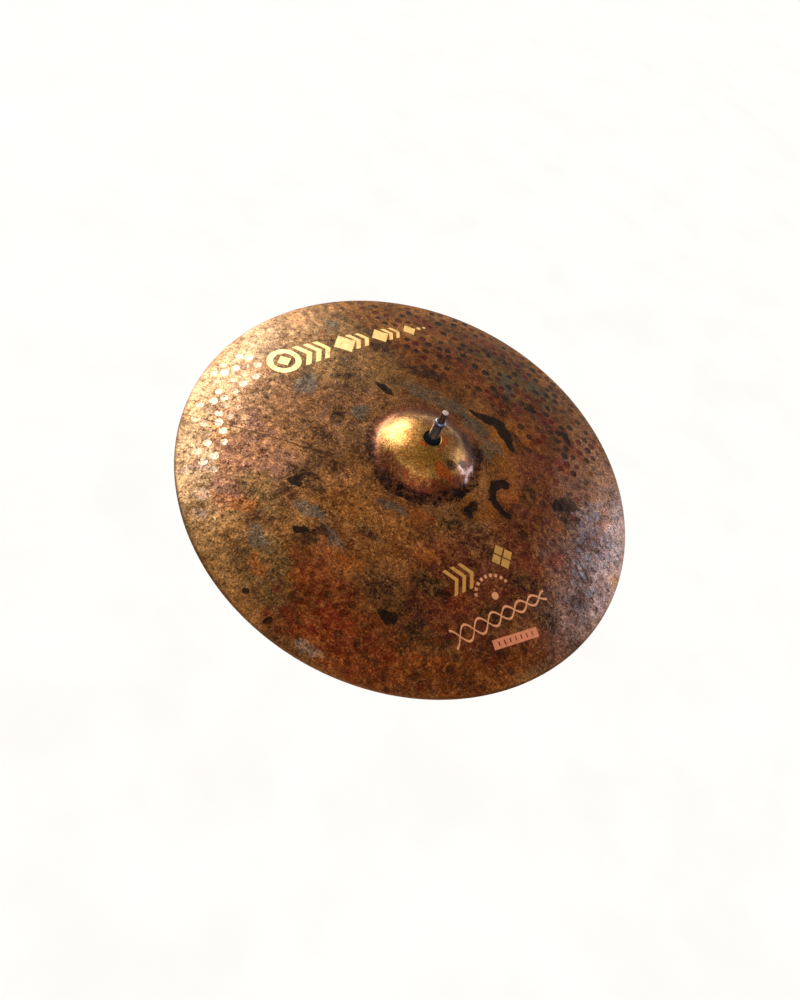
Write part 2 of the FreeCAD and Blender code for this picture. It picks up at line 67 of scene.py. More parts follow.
METAL = 1.1 * MM
EDGE_RADIUS = CYMBAL_HIGH[0]
HOLE_RADIUS = 6.7 * MM
HOLE_HEIGHT = CYMBAL_HIGH[2]
BOW_RADIUS = 600 * MM
BELL_RADIUS = 46.2 * MM
FOOT_RADIUS = 11 * MM
BOW_CENTRE = CYMBAL_LOW[2] - math.sqrt((BOW_RADIUS - METAL) ** 2 - EDGE_RADIUS ** 2)
BELL_CENTRE = HOLE_HEIGHT - math.sqrt(BELL_RADIUS ** 2 - HOLE_RADIUS ** 2)
EDGE_HEIGHT = BOW_CENTRE + math.sqrt(BOW_RADIUS ** 2 - EDGE_RADIUS ** 2)

# the camera looks along +Y from above, rolled, and aims a little short of the axis; its distance is assumed
VIEW_DISTANCE = 0.600
VIEW_ELEVATION = math.radians(52.27)
VIEW_ROLL = math.radians(27.78)
VIEW_AIM = Vector((0.0002, -0.0304, EDGE_HEIGHT))
VIEW_LENS = 28.09
SENSOR = 36.0

# far enough below the mount that steep views of the underside stay clear of it
FLOOR_HEIGHT = -1.60
FLOOR_HALF = 20.0


# ---------------------------------------------------------------- colours and node graphs

def srgb(red, green, blue):
    """Linear colour from 8-bit sRGB values."""
    def channel(value):
        value /= 255
        return value / 12.92 if value <= 0.04045 else ((value + 0.055) / 1.055) ** 2.4
    return (channel(red), channel(green), channel(blue), 1.0)


class Graph:
    """A short way to write a material's node tree: every call adds one node and returns its output."""

    def __init__(self, name):
        self.material = bpy.data.materials.new(name)
        self.material.use_nodes = True
        self.tree = self.material.node_tree
        self.tree.nodes.clear()
        output = self.tree.nodes.new("ShaderNodeOutputMaterial")
        self.shader = self.tree.nodes.new("ShaderNodeBsdfPrincipled")
        self.tree.links.new(self.shader.outputs[0], output.inputs[0])
        coordinates = self.tree.nodes.new("ShaderNodeTexCoord")
        self.place = self.scaled(coordinates.outputs["Object"], 1 / MM)

    def put(self, socket, value):
        if isinstance(value, bpy.types.NodeSocket):
            self.tree.links.new(value, socket)
        elif value is not None:
            socket.default_value = value

    def add(self, kind, inputs, output=0, **settings):
        node = self.tree.nodes.new(kind)
        for key, value in settings.items():
            setattr(node, key, value)
        for key, value in inputs.items():
            self.put(node.inputs[key], value)
        return node.outputs[output]

    def math(self, operation, a, b=None, c=None, clamp=False):
        inputs = {0: a, 1: b}
        if c is not None:
            inputs[2] = c
        return self.add("ShaderNodeMath", inputs, operation=operation, use_clamp=clamp)

    def vector(self, operation, a, b=None, output=0):
        return self.add("ShaderNodeVectorMath", {0: a, 1: b}, output, operation=operation)

    def scaled(self, a, factor):
        return self.add("ShaderNodeVectorMath", {0: a, "Scale": factor}, operation="SCALE")

    def noise(self, size, detail=3.0, rough=0.55, distortion=0.0, place=None, shift=0.0, output=0):
        """Fractal noise whose largest blobs are about size millimetres across."""
        place = place or self.place
        if shift:
            place = self.vector("ADD", place, (shift, shift * 0.7, shift * 1.3))
        inputs = {"Vector": place, "Scale": 1 / size, "Detail": detail, "Roughness": rough,
                  "Distortion": distortion}
        return self.add("ShaderNodeTexNoise", inputs, output)

    def fit(self, value, low, high, to_low=0.0, to_high=1.0, smooth=False):
        """Map low..high to to_low..to_high and clamp."""
        inputs = {0: value, 1: low, 2: high, 3: to_low, 4: to_high}
        kind = "SMOOTHSTEP" if smooth else "LINEAR"
        return self.add("ShaderNodeMapRange", inputs, interpolation_type=kind, clamp=True)

    def blend(self, factor, a, b, mode="MIX"):
        inputs = {0: factor, 6: a, 7: b}
        return self.add("ShaderNodeMix", inputs, 2, data_type="RGBA", blend_type=mode)

    def local(self, x, y, angle=0.0, half_x=1.0, half_y=1.0, place=None):
        """Coordinates in a frame at x, y, turned by angle degrees and divided by the half sizes."""
        inputs = {"Vector": place or self.place, "Location": (x, y, 0.0),
                  "Rotation": (0.0, 0.0, math.radians(angle)), "Scale": (half_x, half_y, 1.0e6)}
        return self.add("ShaderNodeMapping", inputs, vector_type="TEXTURE")

    def most(self, masks):
        """The greatest of several masks."""
        result = masks[0]
        for mask in masks[1:]:
            result = self.math("MAXIMUM", result, mask)
        return result

    def split(self, vector):
        node = self.tree.nodes.new("ShaderNodeSeparateXYZ")
        self.put(node.inputs[0], vector)
        return node.outputs[0], node.outputs[1], node.outputs[2]

    def attribute(self, name, output="Fac"):
        return self.add("ShaderNodeAttribute", {}, output, attribute_name=name, attribute_type="GEOMETRY")

    def bump(self, height, distance, strength=1.0, normal=None):
        inputs = {"Height": height, "Distance": distance, "Strength": strength}
        if normal is not None:
            inputs["Normal"] = normal
        return self.add("ShaderNodeBump", inputs)

    def finish(self, **inputs):
        """Set the shader's inputs, with underscores for spaces."""
        for key, value in inputs.items():
            self.put(self.shader.inputs[key.replace("_", " ")], value)
        return self.material


# ---------------------------------------------------------------- patina of the cymbal

# Broad washes, then patches, from the first laid down to the last.  Each is a name, a colour, how soft its
# edge is, how much it covers, and its ellipses as x, y, half length, half width, angle in degrees.
GROUND_DARK, GROUND_LIGHT = srgb(92, 58, 32), srgb(140, 98, 60)
WASHES = (
    ("olive gold along the far edge", srgb(152, 106, 48), 0.5, 0.9,
     ((-62, 146, 66, 30, 22), (20, 164, 80, 14, -6), (-100, 112, 40, 34, 45))),
    ("deep brown beyond the bell", srgb(112, 64, 26), 0.5, 0.85,
     ((24, 118, 66, 42, -18), (-22, 92, 40, 28, 0), (92, 88, 46, 40, -40))),
    ("tan at the far left", srgb(150, 120, 84), 0.6, 0.8,
     ((-128, 82, 36, 40, 45),)),
    # the pale gold of the left edge is partly painted highlight: a paler, whiter base where the key light
    # reflects
    ("pale gold of the left edge, partly painted highlight", srgb(158, 133, 106), 0.4, 0.95,
     ((-167, 12, 22, 92, 4), (-146, -92, 22, 50, 34))),
    ("warm brown left of the bell", srgb(110, 76, 54), 0.6, 0.8,
     ((-104, -14, 44, 46, 0), (-62, -10, 20, 50, 0))),
    ("olive tan above it", srgb(118, 91, 58), 0.6, 0.8,
     ((-104, 46, 34, 30, 0), (-64, 58, 26, 20, 20))),
    ("mauve in front left", srgb(126, 88, 74), 0.5, 0.85,
     ((-102, -66, 26, 20, -30), (-122, -44, 20, 12, 0), (-112, -94, 12, 13, 0))),
    ("olive tan of the near left edge", srgb(138, 106, 68), 0.4, 0.9,
     ((-96, -134, 44, 18, -42), (-62, -156, 38, 13, -20))),
    ("olive brown trail", srgb(104, 82, 52), 0.4, 0.85,
     ((-62, -128, 12, 22, 30), (-42, -150, 10, 16, 10), (-84, -88, 18, 11, -20))),
    ("ochre in front of the bell", srgb(140, 80, 30), 0.6, 0.8,
     ((-14, -96, 26, 15, 0), (-30, -70, 30, 14, 0), (14, -76, 34, 18, 0), (8, -52, 30, 7, 0))),
    ("rust at the near edge", srgb(112, 40, 15), 0.45, 0.9,
     ((-16, -138, 28, 24, -20), (14, -152, 40, 22, 0), (-6, -164, 44, 10, 0))),
    ("brown along the near right edge", srgb(110, 52, 18), 0.4, 0.9,
     ((106, -122, 60, 16, 46), (60, -154, 50, 18, 18))),
    ("red brown at the near right", srgb(90, 34, 24), 0.5, 0.9,
     ((74, -76, 50, 40, 20), (98, -32, 36, 30, 0), (66, -104, 44, 18, 20))),
    ("rust brown on the right", srgb(104, 50, 40), 0.6, 0.85,
     ((96, 34, 44, 44, -20), (70, 88, 34, 20, -20))),
    ("mauve brown of the right", srgb(116, 82, 76), 0.5, 0.85,
     ((142, -20, 22, 66, 0), (110, 50, 14, 30, 0))),
    ("tan rose of the far right", srgb(156, 114, 92), 0.6, 0.85,
     ((136, 84, 24, 46, 38), (112, 108, 20, 20, 0))),
    # the pale edge on the right is partly painted sheen: a greyer, bluish base where the bluish light
    # reflects along the rim
    ("pale edge on the right, partly painted sheen", srgb(150, 126, 126), 0.4, 0.85,
     ((168, 6, 12, 70, 0),)),
    ("grey olive with the far marks", srgb(94, 76, 40), 0.5, 0.8,
     ((34, 122, 22, 22, 0), (62, 128, 26, 14, -24), (-92, 103, 22, 7, -6), (8, 140, 18, 14, 0))),
    ("ochre right of the bell", srgb(136, 84, 32), 0.5, 0.8,
     ((58, 78, 12, 18, -40), (44, 52, 22, 8, -20), (54, 26, 9, 16, 0), (54, -20, 16, 12, 0))),
)

PATCHES = (
    ("slate", srgb(84, 84, 78), 0.55, 0.64,
     ((-72, -119, 11, 6, -25), (-52, -86, 13, 4, -5), (-26, -98, 12, 4, -20), (-3, -55, 13, 4, 6),
      (-14, 54, 26, 8, 4), (26, 47, 14, 7, -30), (43, 32, 7, 15, -20), (-57, 9, 5, 7, 0),
      (56, 134, 16, 6, -10), (34, 112, 8, 16, 10), (-104, 12, 8, 10, 0), (-146, 30, 6, 4, 0),
      (118, 28, 8, 8, 0), (-118, 88, 6, 5, 0))),
    ("brown", srgb(46, 26, 19), 0.40, 0.84,
     ((-64, -66, 20, 7, -18), (-42, -103, 12, 7, 30), (22, -116, 20, 11, -25), (48, -127, 7, 14, -6),
      (38, -45, 14, 4, 25), (120, 22, 16, 14, 25), (46, -95, 15, 6, 0), (104, -54, 12, 7, 10),
      (96, -88, 14, 9, 50), (36, 86, 9, 14, 40), (58, 104, 13, 4, 20), (-64, -28, 6, 3, 0),
      (-84, 34, 12, 4, 30), (-70, -4, 6, 10, 0), (-76, -24, 14, 4, -20), (149, -44, 7, 5, 0),
      (100, 96, 10, 4, -42), (-30, 76, 26, 6, 8), (-70, 84, 12, 5, 0), (84, 12, 6, 12, 0),
      (134, -70, 8, 6, 0), (-8, -82, 10, 4, 0), (20, 146, 24, 5, -6), (76, 60, 8, 4, 0))),
    ("orange", srgb(150, 80, 30), 0.50, 0.50,
     ((71, 4, 8, 11, 0), (148, 47, 3.4, 3, 0), (-14, -106, 13, 6, 4), (66, -139, 12, 4, 24),
      (20, -50, 12, 4, 0), (-100, -104, 18, 6, 10), (-36, -130, 7, 5, 0), (-62, -136, 9, 4, -30),
      (72, 64, 14, 5, 0), (-60, 104, 14, 5, 0), (-118, 74, 4, 3, 0), (34, -76, 10, 7, 0))),
    ("red", srgb(112, 32, 16), 0.50, 0.52,
     ((52, 115, 13, 5, -14), (68, -96, 10, 7, 40), (-14, 108, 20, 7, 0), (-48, 140, 18, 7, -10),
      (8, 156, 14, 6, 0), (20, 92, 20, 5, -20), (108, 88, 16, 6, -32), (86, 104, 14, 5, -30),
      (-2, -146, 12, 5, 0), (36, -150, 12, 4, 10), (104, 62, 12, 5, -10), (124, -20, 6, 8, 0))),
    # pale mauve patches along the right edge and the near left: partly real tone, partly painted sheen of
    # the bluish light
    ("lilac_and_painted_sheen", srgb(146, 130, 130), 0.45, 0.5,
     ((-8, -169, 10, 4, 0), (-134, -86, 5, 5, 0), (-141, -94, 4, 4, 0), (-122, -108, 5, 4, 0),
      (-116, -118, 5, 4, 0), (138, 34, 7, 18, -10), (170, 30, 5, 24, 0), (146, -8, 6, 10, 0),
      (126, 26, 3, 3, 0))),
    ("black", srgb(26, 17, 15), 0.16, 0.97,
     ((24, 62, 8, 3.2, 0), (33, 62, 8, 4.6, 10), (41, 63, 8, 5.6, -10), (49, 58, 8, 5, -40),
      (57, 51, 8, 3.4, -44), (64, 9, 5, 4, 0), (59, 4, 4.5, 6, -20), (59, -4, 4.2, 6, 10),
      (65, -10, 7, 4, -20), (73, -13, 6, 3.4, 0), (49, -23, 4, 6, -10), (48, -29, 3.6, 5, 0),
      (-51, 40, 8, 3.4, -12), (98, 96, 7, 2.6, -42), (63, 101, 9, 2.6, 24), (-62, -154, 2.4, 2.4, 0),
      (-39, -166, 2.6, 2.6, 0), (-70, -71, 5, 3, 0), (-50, -101, 6, 2.6, 20), (30, -128, 8, 5, 0),
      (108, 22, 6, 5, 0))),
)
BELL_SPOTS = (
    ("bell_grey", srgb(58, 44, 38), 0.3, 0.9,
     ((21, -9, 4.5, 3, 20), (24, 22, 3.5, 11, 16), (29, -1, 3, 3, 0))),
    ("bell_rust", srgb(172, 74, 20), 0.5, 0.75,
     ((19, -17, 7.5, 4, 14), (-5, -9, 3, 2, 0), (10, 1, 1.8, 7, 0))),
    ("bell_glint", srgb(176, 156, 170), 0.35, 0.7,
     ((35, 3, 2.2, 7, -12), (31, -5, 2.6, 3, 0), (38, -6, 1.6, 3, 0))),
)

# stains round the bell: angle, half width in degrees, inner and outer radius, cover, colour
BELL_STAINS = (
    (-62, 82, 29.0, 38.0, 0.85, srgb(92, 32, 18)),
    (-40, 84, 35.0, 45.5, 0.98, srgb(20, 7, 12)),
    (213, 28, 37.5, 45.0, 0.97, srgb(40, 32, 30)),
    (110, 62, 37.6, 39.6, 0.75, srgb(66, 44, 34)),
)

# scratches as x, y, half length, half width, angle
SCRATCHES = ((-112, -46.5, 58, 0.45, 6.5), (-70, -41, 14, 0.7, 12), (-100, 97, 26, 0.8, -12),
             (-44, -48, 6, 0.6, -26), (-59, -4, 14, 0.35, 86), (132, -59, 14, 0.4, -18))

# where bright crumbs are thick, and which hammer marks are burnt dark, scraped pale or given a bluish
# painted sheen
CRUMBED = ((-100, -20, 62, 110, 0), (-30, -76, 66, 28, 0), (144, 0, 30, 90, 0), (54, -50, 30, 20, 0))
BURNT = ((-8, 134, 112, 56, 0), (92, 92, 50, 44, -40))
HALF_BURNT = ((0, -146, 60, 26, 0), (90, -128, 52, 24, 45), (110, 20, 30, 50, 0), (0, -29, 22, 5, 0),
              (-6, 20, 26, 8, 0))
SCRAPED = ((-152, -18, 17, 43, 8), (-137, -62, 11, 32, 14))
# hammer marks along the right edge that take a bluish painted sheen
COOL_SHEEN_ZONE = ((152, 8, 22, 70, 0),)

# the crumbs are golden, but paler along the left edge as a painted highlight and silvery along the right one
# as a painted sheen
CRUMB_GOLD, CRUMB_HIGHLIGHT_TINT, CRUMB_SHEEN_TINT = srgb(212, 154, 90), srgb(206, 178, 138), srgb(172, 150, 146)
LEFT_PAINTED_HIGHLIGHT = ((-168, 6, 46, 120, 0), (-140, -100, 34, 50, 30))
RIGHT_PAINTED_SHEEN = ((160, -6, 34, 110, 0),)


def inside(x, y, shapes):
    """How deep points lie in some ellipses: 1 at a middle, 0 on an edge, negative outside them all."""
    field = np.full(len(x), -1.0)
    for centre_x, centre_y, half_x, half_y, angle in shapes:
        cosine, sine = math.cos(math.radians(angle)), math.sin(math.radians(angle))
        across = ((x - centre_x) * cosine + (y - centre_y) * sine) / half_x
        up = ((y - centre_y) * cosine - (x - centre_x) * sine) / half_y
        field = np.maximum(field, 1 - np.hypot(across, up))
    return field


def ramp(field, softness):
    """A smooth mask that rises from 0 to 1 where the field crosses zero."""
    t = np.clip(field / softness * 0.5 + 0.5, 0, 1)
    return t * t * (3 - 2 * t)


def pushed(x, y, *octaves):
    """Points moved about by noise so that edges run ragged.  Each octave is a size and a strength."""
    moved = np.stack([x, y], axis=1)
    for size, strength in octaves:
        for i in range(len(x)):
            moved[i, 0] += strength * noise.noise(Vector((x[i] / size + 7, y[i] / size - 3, size)))
            moved[i, 1] += strength * noise.noise(Vector((x[i] / size - 40, y[i] / size + 55, -size)))
    return moved[:, 0], moved[:, 1]


def paint_patina(mesh, x, y):
    """Store the washes as a colour on each vertex, and how far inside each kind of patch it lies."""
    washed_x, washed_y = pushed(x, y, (30, 13.0), (10, 7.0), (4, 3.0))
    patched_x, patched_y = pushed(x, y, (14, 3.0), (5, 2.0))
    tone = np.array([noise.fractal(Vector((p / 26, q / 26, 4.0)), 0.7, 2.1, 5) for p, q in zip(x, y)])
    lighter = np.clip(tone * 0.9 + 0.5, 0, 1)[:, None]
    colour = np.array(GROUND_DARK) * (1 - lighter) + np.array(GROUND_LIGHT) * lighter
    for _, tint, softness, cover, shapes in WASHES:
        mask = ramp(inside(washed_x, washed_y, shapes), softness)[:, None] * cover
        colour = colour * (1 - mask) + np.array(tint) * mask
    colour[:, :3] *= np.clip(1 + 0.45 * tone, 0.6, 1.5)[:, None]
    add_colours(mesh, "wash", colour)
    add_values(mesh, "crumbed", ramp(inside(washed_x, washed_y, CRUMBED), 0.5))
    # crumb tint: paler at the left edge as painted highlight, more silvery at the right as painted sheen
    crumb = np.tile(np.array(CRUMB_GOLD), (len(x), 1))
    for shapes, tint in ((LEFT_PAINTED_HIGHLIGHT, CRUMB_HIGHLIGHT_TINT), (RIGHT_PAINTED_SHEEN, CRUMB_SHEEN_TINT)):
        mask = ramp(inside(washed_x, washed_y, shapes), 0.5)[:, None]
        crumb = crumb * (1 - mask) + np.array(tint) * mask
    add_colours(mesh, "crumb", crumb)
    for name, _, _, _, shapes in PATCHES + BELL_SPOTS:
        add_values(mesh, "patch_" + name, inside(patched_x, patched_y, shapes))


def add_colours(mesh, name, colours):
    layer = mesh.attributes.new(name, "FLOAT_COLOR", "POINT")
    layer.data.foreach_set("color", colours.astype(np.float32).ravel())


def add_values(mesh, name, values):
    layer = mesh.attributes.new(name, "FLOAT", "POINT")
    layer.data.foreach_set("value", np.asarray(values, dtype=np.float32))


def sector(g, radius, flat, angle, half_width, low, high, soft):
    """A mask over a stretch of a ring, about angle degrees, between the radii low and high."""
    towards = (math.cos(math.radians(angle)), math.sin(math.radians(angle)), 0.0)
    facing = g.math("DIVIDE", g.vector("DOT_PRODUCT", flat, towards, output="Value"), radius)
    edge = math.cos(math.radians(half_width))
    within = g.fit(facing, edge - 0.12, edge + 0.12, smooth=True)
    above = g.fit(radius, low - soft, low + soft, smooth=True)
    below = g.fit(radius, high + soft, high - soft, smooth=True)
    return g.math("MULTIPLY", within, g.math("MULTIPLY", above, below))


# ---------------------------------------------------------------- ornaments, all plain geometry

MARK_ANGLE = 53.8
UPPER_PLACE = (-93.0, 77.0)
CREAM = srgb(246, 222, 158)
BRASS = srgb(206, 160, 88)
BLUSH = srgb(228, 168, 134)
ROSE = srgb(222, 146, 122)


def near(g, distance, width):
    """One where a distance in millimetres is under width, with a narrow edge."""
    return g.fit(distance, width + 0.22, width - 0.22)


def disc_mark(g, x, y, radius):
    return near(g, g.vector("LENGTH", g.local(x, y), output="Value"), radius)


def ring_mark(g, x, y, radius, half_stroke):
    reach = g.vector("LENGTH", g.local(x, y), output="Value")
    return near(g, g.math("ABSOLUTE", g.math("SUBTRACT", reach, radius)), half_stroke)


def bar_mark(g, x, y, half_length, half_width, angle):
    across, up, _ = g.split(g.local(x, y, angle))
    along = near(g, g.math("ABSOLUTE", across), half_length)
    return g.math("MULTIPLY", along, near(g, g.math("ABSOLUTE", up), half_width))


def diamond_mark(g, x, y, half_length, half_width, angle):
    across, up, _ = g.split(g.local(x, y, angle, half_length, half_width))
    reach = g.math("ADD", g.math("ABSOLUTE", across), g.math("ABSOLUTE", up))
    return g.fit(reach, 1.04, 0.96)


def chevron_mark(g, x, y, half_height, half_stroke, angle):
    across, up, _ = g.split(g.local(x, y, angle))
    rise = g.math("ABSOLUTE", up)
    slant = g.math("ADD", across, g.math("MULTIPLY", rise, 0.6))
    return g.math("MULTIPLY", near(g, g.math("ABSOLUTE", slant), half_stroke), near(g, rise, half_height))


def braid_mark(g, x, y, half_length, height, waves, half_stroke, angle):
    """Two crossing waves that die away towards their far end."""
    across, up, _ = g.split(g.local(x, y, angle))
    swing = g.math("SINE", g.math("MULTIPLY", across, math.pi * waves / half_length))
    swing = g.math("MULTIPLY", swing, g.fit(across, -half_length, half_length, height, height * 0.5))
    first = g.math("ABSOLUTE", g.math("SUBTRACT", up, swing))
    second = g.math("ABSOLUTE", g.math("ADD", up, swing))
    strands = near(g, g.math("MINIMUM", first, second), half_stroke)
    return g.math("MULTIPLY", strands, near(g, g.math("ABSOLUTE", across), half_length))


def dashed_arc_mark(g, x, y, radius, half_stroke, dashes, facing):
    """Dashes round half a circle, on the side that faces the given angle."""
    across, up, _ = g.split(g.local(x, y, facing))
    reach = g.vector("LENGTH", g.local(x, y), output="Value")
    band = near(g, g.math("ABSOLUTE", g.math("SUBTRACT", reach, radius)), half_stroke)
    turn = g.math("ARCTAN2", up, across)
    beat = g.math("COSINE", g.math("MULTIPLY", turn, dashes))
    dashed = g.math("MULTIPLY", g.fit(beat, -0.15, 0.05), near(g, g.math("ABSOLUTE", turn), 1.25))
    return g.math("MULTIPLY", band, dashed)


def along_mark(x, y, u, v=0.0):
    """A point u along and v across the direction in which the ornaments run."""
    angle = math.radians(MARK_ANGLE)
    return (x + u * math.cos(angle) - v * math.sin(angle), y + u * math.sin(angle) + v * math.cos(angle))


def upper_ornament(g):
    """A band of plain shapes across the far left: ring, then chevrons and diamonds in turn, then dots."""
    x, y = UPPER_PLACE
    masks = [
        ring_mark(g, *along_mark(x, y, -62), 11.0, 2.3),
        diamond_mark(g, *along_mark(x, y, -62), 5.8, 5.8, MARK_ANGLE),
    ]
    for u, half_height, half_stroke in (
        (-40, 11.5, 2.4), (-31.5, 11.0, 2.3), (-23.5, 10.5, 2.2), (5, 9.0, 2.1),
        (13, 8.5, 2.0), (37, 7.5, 1.8), (44, 7.0, 1.7),
    ):
        masks.append(chevron_mark(g, *along_mark(x, y, u), half_height, half_stroke, MARK_ANGLE))
    for u, half in ((-8, 10.0), (26, 8.2), (56, 6.4)):
        masks.append(diamond_mark(g, *along_mark(x, y, u), half, half * 1.1, MARK_ANGLE))
    for u, radius in ((66, 1.9), (72, 1.4)):
        masks.append(disc_mark(g, *along_mark(x, y, u), radius))
    return g.most(masks)


def twin_emblems(g):
    """Two plain emblems at the near right: stacked chevrons, and four small diamonds."""
    masks = []
    for u in (-6.0, 0.5, 7.0):
        masks.append(chevron_mark(g, *along_mark(64.0, -76.0, u), 9.5, 1.5, MARK_ANGLE))
    for u, v in ((-5.2, 0), (5.2, 0), (0, -5.2), (0, 5.2)):
        masks.append(diamond_mark(g, *along_mark(83.5, -46.5, u, v), 4.3, 4.3, MARK_ANGLE))
    return g.most(masks)


def arc_and_braid(g):
    """A dot inside an arc of dashes, and a braid beyond them."""
    return g.most([
        disc_mark(g, 89.8, -75.8, 2.7),
        dashed_arc_mark(g, 89.8, -75.8, 14.5, 1.2, 22, MARK_ANGLE + 90),
        braid_mark(g, 99.5, -86.0, 41.0, 6.2, 3.5, 0.85, MARK_ANGLE),
    ])


def label_bar(g):
    """A plain painted bar near the edge, with a row of ticks left bare in it."""
    across, up, _ = g.split(g.local(115.5, -94.0, MARK_ANGLE - 8))
    bar = g.math("MULTIPLY", near(g, g.math("ABSOLUTE", across), 18.5), near(g, g.math("ABSOLUTE", up), 3.4))
    beat = g.math("COSINE", g.math("MULTIPLY", across, math.pi * 2 / 4.6))
    ticks = g.math("MULTIPLY", g.fit(beat, 0.70, 0.85), near(g, g.math("ABSOLUTE", up), 1.5))
    ticks = g.math("MULTIPLY", ticks, near(g, g.math("ABSOLUTE", across), 15.5))
    return g.math("MULTIPLY", bar, g.math("SUBTRACT", 1.0, ticks))


def spread(g, value):
    """Centre fractal noise on zero and widen it to about -1..1."""
    return g.fit(value, 0.28, 0.72, -1.0, 1.0)


def lay_patches(g, colour, shore):
    """Lay the patches down with ragged shores.  Also returns how much each kind covers."""
    cover_of = {}
    for name, tint, softness, cover, _ in PATCHES:
        reach = g.attribute("patch_" + name)
        ragged = g.math("MULTIPLY", shore, 0.15 + softness * 1.4)
        mask = g.fit(g.math("ADD", reach, ragged), -softness * 0.2, softness * 0.2)
        mask = g.math("MULTIPLY", mask, g.fit(reach, -0.85, -0.35))
        cover_of[name] = g.math("MULTIPLY", mask, cover)
        colour = g.blend(cover_of[name], colour, tint)
    return colour, cover_of


def lay_bell(g, colour, flat, ring_noise, crust, shore, soot, crumbs):
    """A bare golden dome, lightened on the left as a painted highlight and darkened towards the right as
    painted shade, with painted glints at the right, a grimy foot, black crust at the near right and a grey
    crescent at the left.
    """
    dome = g.fit(ring_noise, 38.0, 35.5, smooth=True)
    gold = g.blend(g.fit(crust, -0.5, 0.5), srgb(142, 98, 48), srgb(198, 160, 104))
    olive = g.fit(g.vector("LENGTH", g.local(4, -15, 0, 18, 11, flat), output="Value"), 1.2, 0.3)
    gold = g.blend(g.math("MULTIPLY", olive, 0.7), gold, srgb(150, 108, 34))
    gold = g.blend(g.math("MULTIPLY", g.fit(shore, 0.1, 0.5), 0.55), gold, srgb(128, 72, 26))
    gold = g.blend(g.math("MULTIPLY", soot, 0.55), gold, srgb(84, 46, 22))
    # painted light: the dome's gold is lightened on the left, where the key light's highlight falls, and
    # darkened towards the right as painted shade
    shade = g.fit(g.split(flat)[0], -22, 26, 1.2, 0.56)
    gold = g.blend(1.0, gold, shade, "MULTIPLY")
    colour = g.blend(g.math("MULTIPLY", dome, 0.95), colour, gold)
    foot = g.math("MULTIPLY", g.fit(ring_noise, 33.0, 36.0), g.fit(ring_noise, 48.0, 42.0))
    colour = g.blend(g.math("MULTIPLY", foot, 0.6), colour, srgb(122, 72, 58))
    for angle, half_width, low, high, cover, tint in BELL_STAINS:
        stain = sector(g, ring_noise, flat, angle, half_width, low, high, 1.2)
        stain = g.math("MULTIPLY", stain, g.fit(crumbs, 0, 1, 1.0, 0.45))
        colour = g.blend(g.math("MULTIPLY", stain, cover), colour, tint)
    for name, tint, softness, cover, _ in BELL_SPOTS:
        reach = g.math("ADD", g.attribute("patch_" + name), g.math("MULTIPLY", shore, 0.9))
        colour = g.blend(g.math("MULTIPLY", g.fit(reach, -softness, softness), cover), colour, tint)
    return colour, dome


def lay_hammer_marks(g, colour, grit):
    """Hammer marks: burnt dark at the far side, scraped pale at the left, with a bluish painted sheen at the
    right.
    """
    reach = g.attribute("mark_reach")
    tone = g.attribute("mark_tone")
    ragged = g.math("ADD", reach, g.math("MULTIPLY", grit, 0.16))
    within = g.math("MULTIPLY", g.fit(ragged, 1.06, 0.86, smooth=True), g.fit(reach, 0.0, 0.9, 0.80, 1.0))
    scald = g.blend(g.fit(tone, 0.52, 0.58), srgb(38, 24, 10), srgb(94, 22, 10))
    scald = g.blend(g.fit(tone, 0.78, 0.82), scald, srgb(116, 62, 14))
    # the last tint is a bluish painted sheen on the marks along the right edge
    for kind, tint in (("burnt", scald), ("pale", srgb(222, 206, 184)), ("cool", srgb(126, 124, 136))):
        colour = g.blend(g.math("MULTIPLY", within, g.attribute("mark_" + kind)), colour, tint)
    return colour


def lay_ornaments(g, colour, grit):
    """The ornaments, worn through in places.  Also returns where they are."""
    wear = g.fit(grit, -0.75, -0.35, 0.5, 1.0)
    masks = []
    for draw, tint in (
        (upper_ornament, CREAM), (twin_emblems, BRASS), (arc_and_braid, BLUSH), (label_bar, ROSE),
    ):
        mask = g.math("MULTIPLY", draw(g), wear)
        colour = g.blend(g.math("MULTIPLY", mask, 0.93), colour, tint)
        masks.append(mask)
    return colour, g.most(masks)


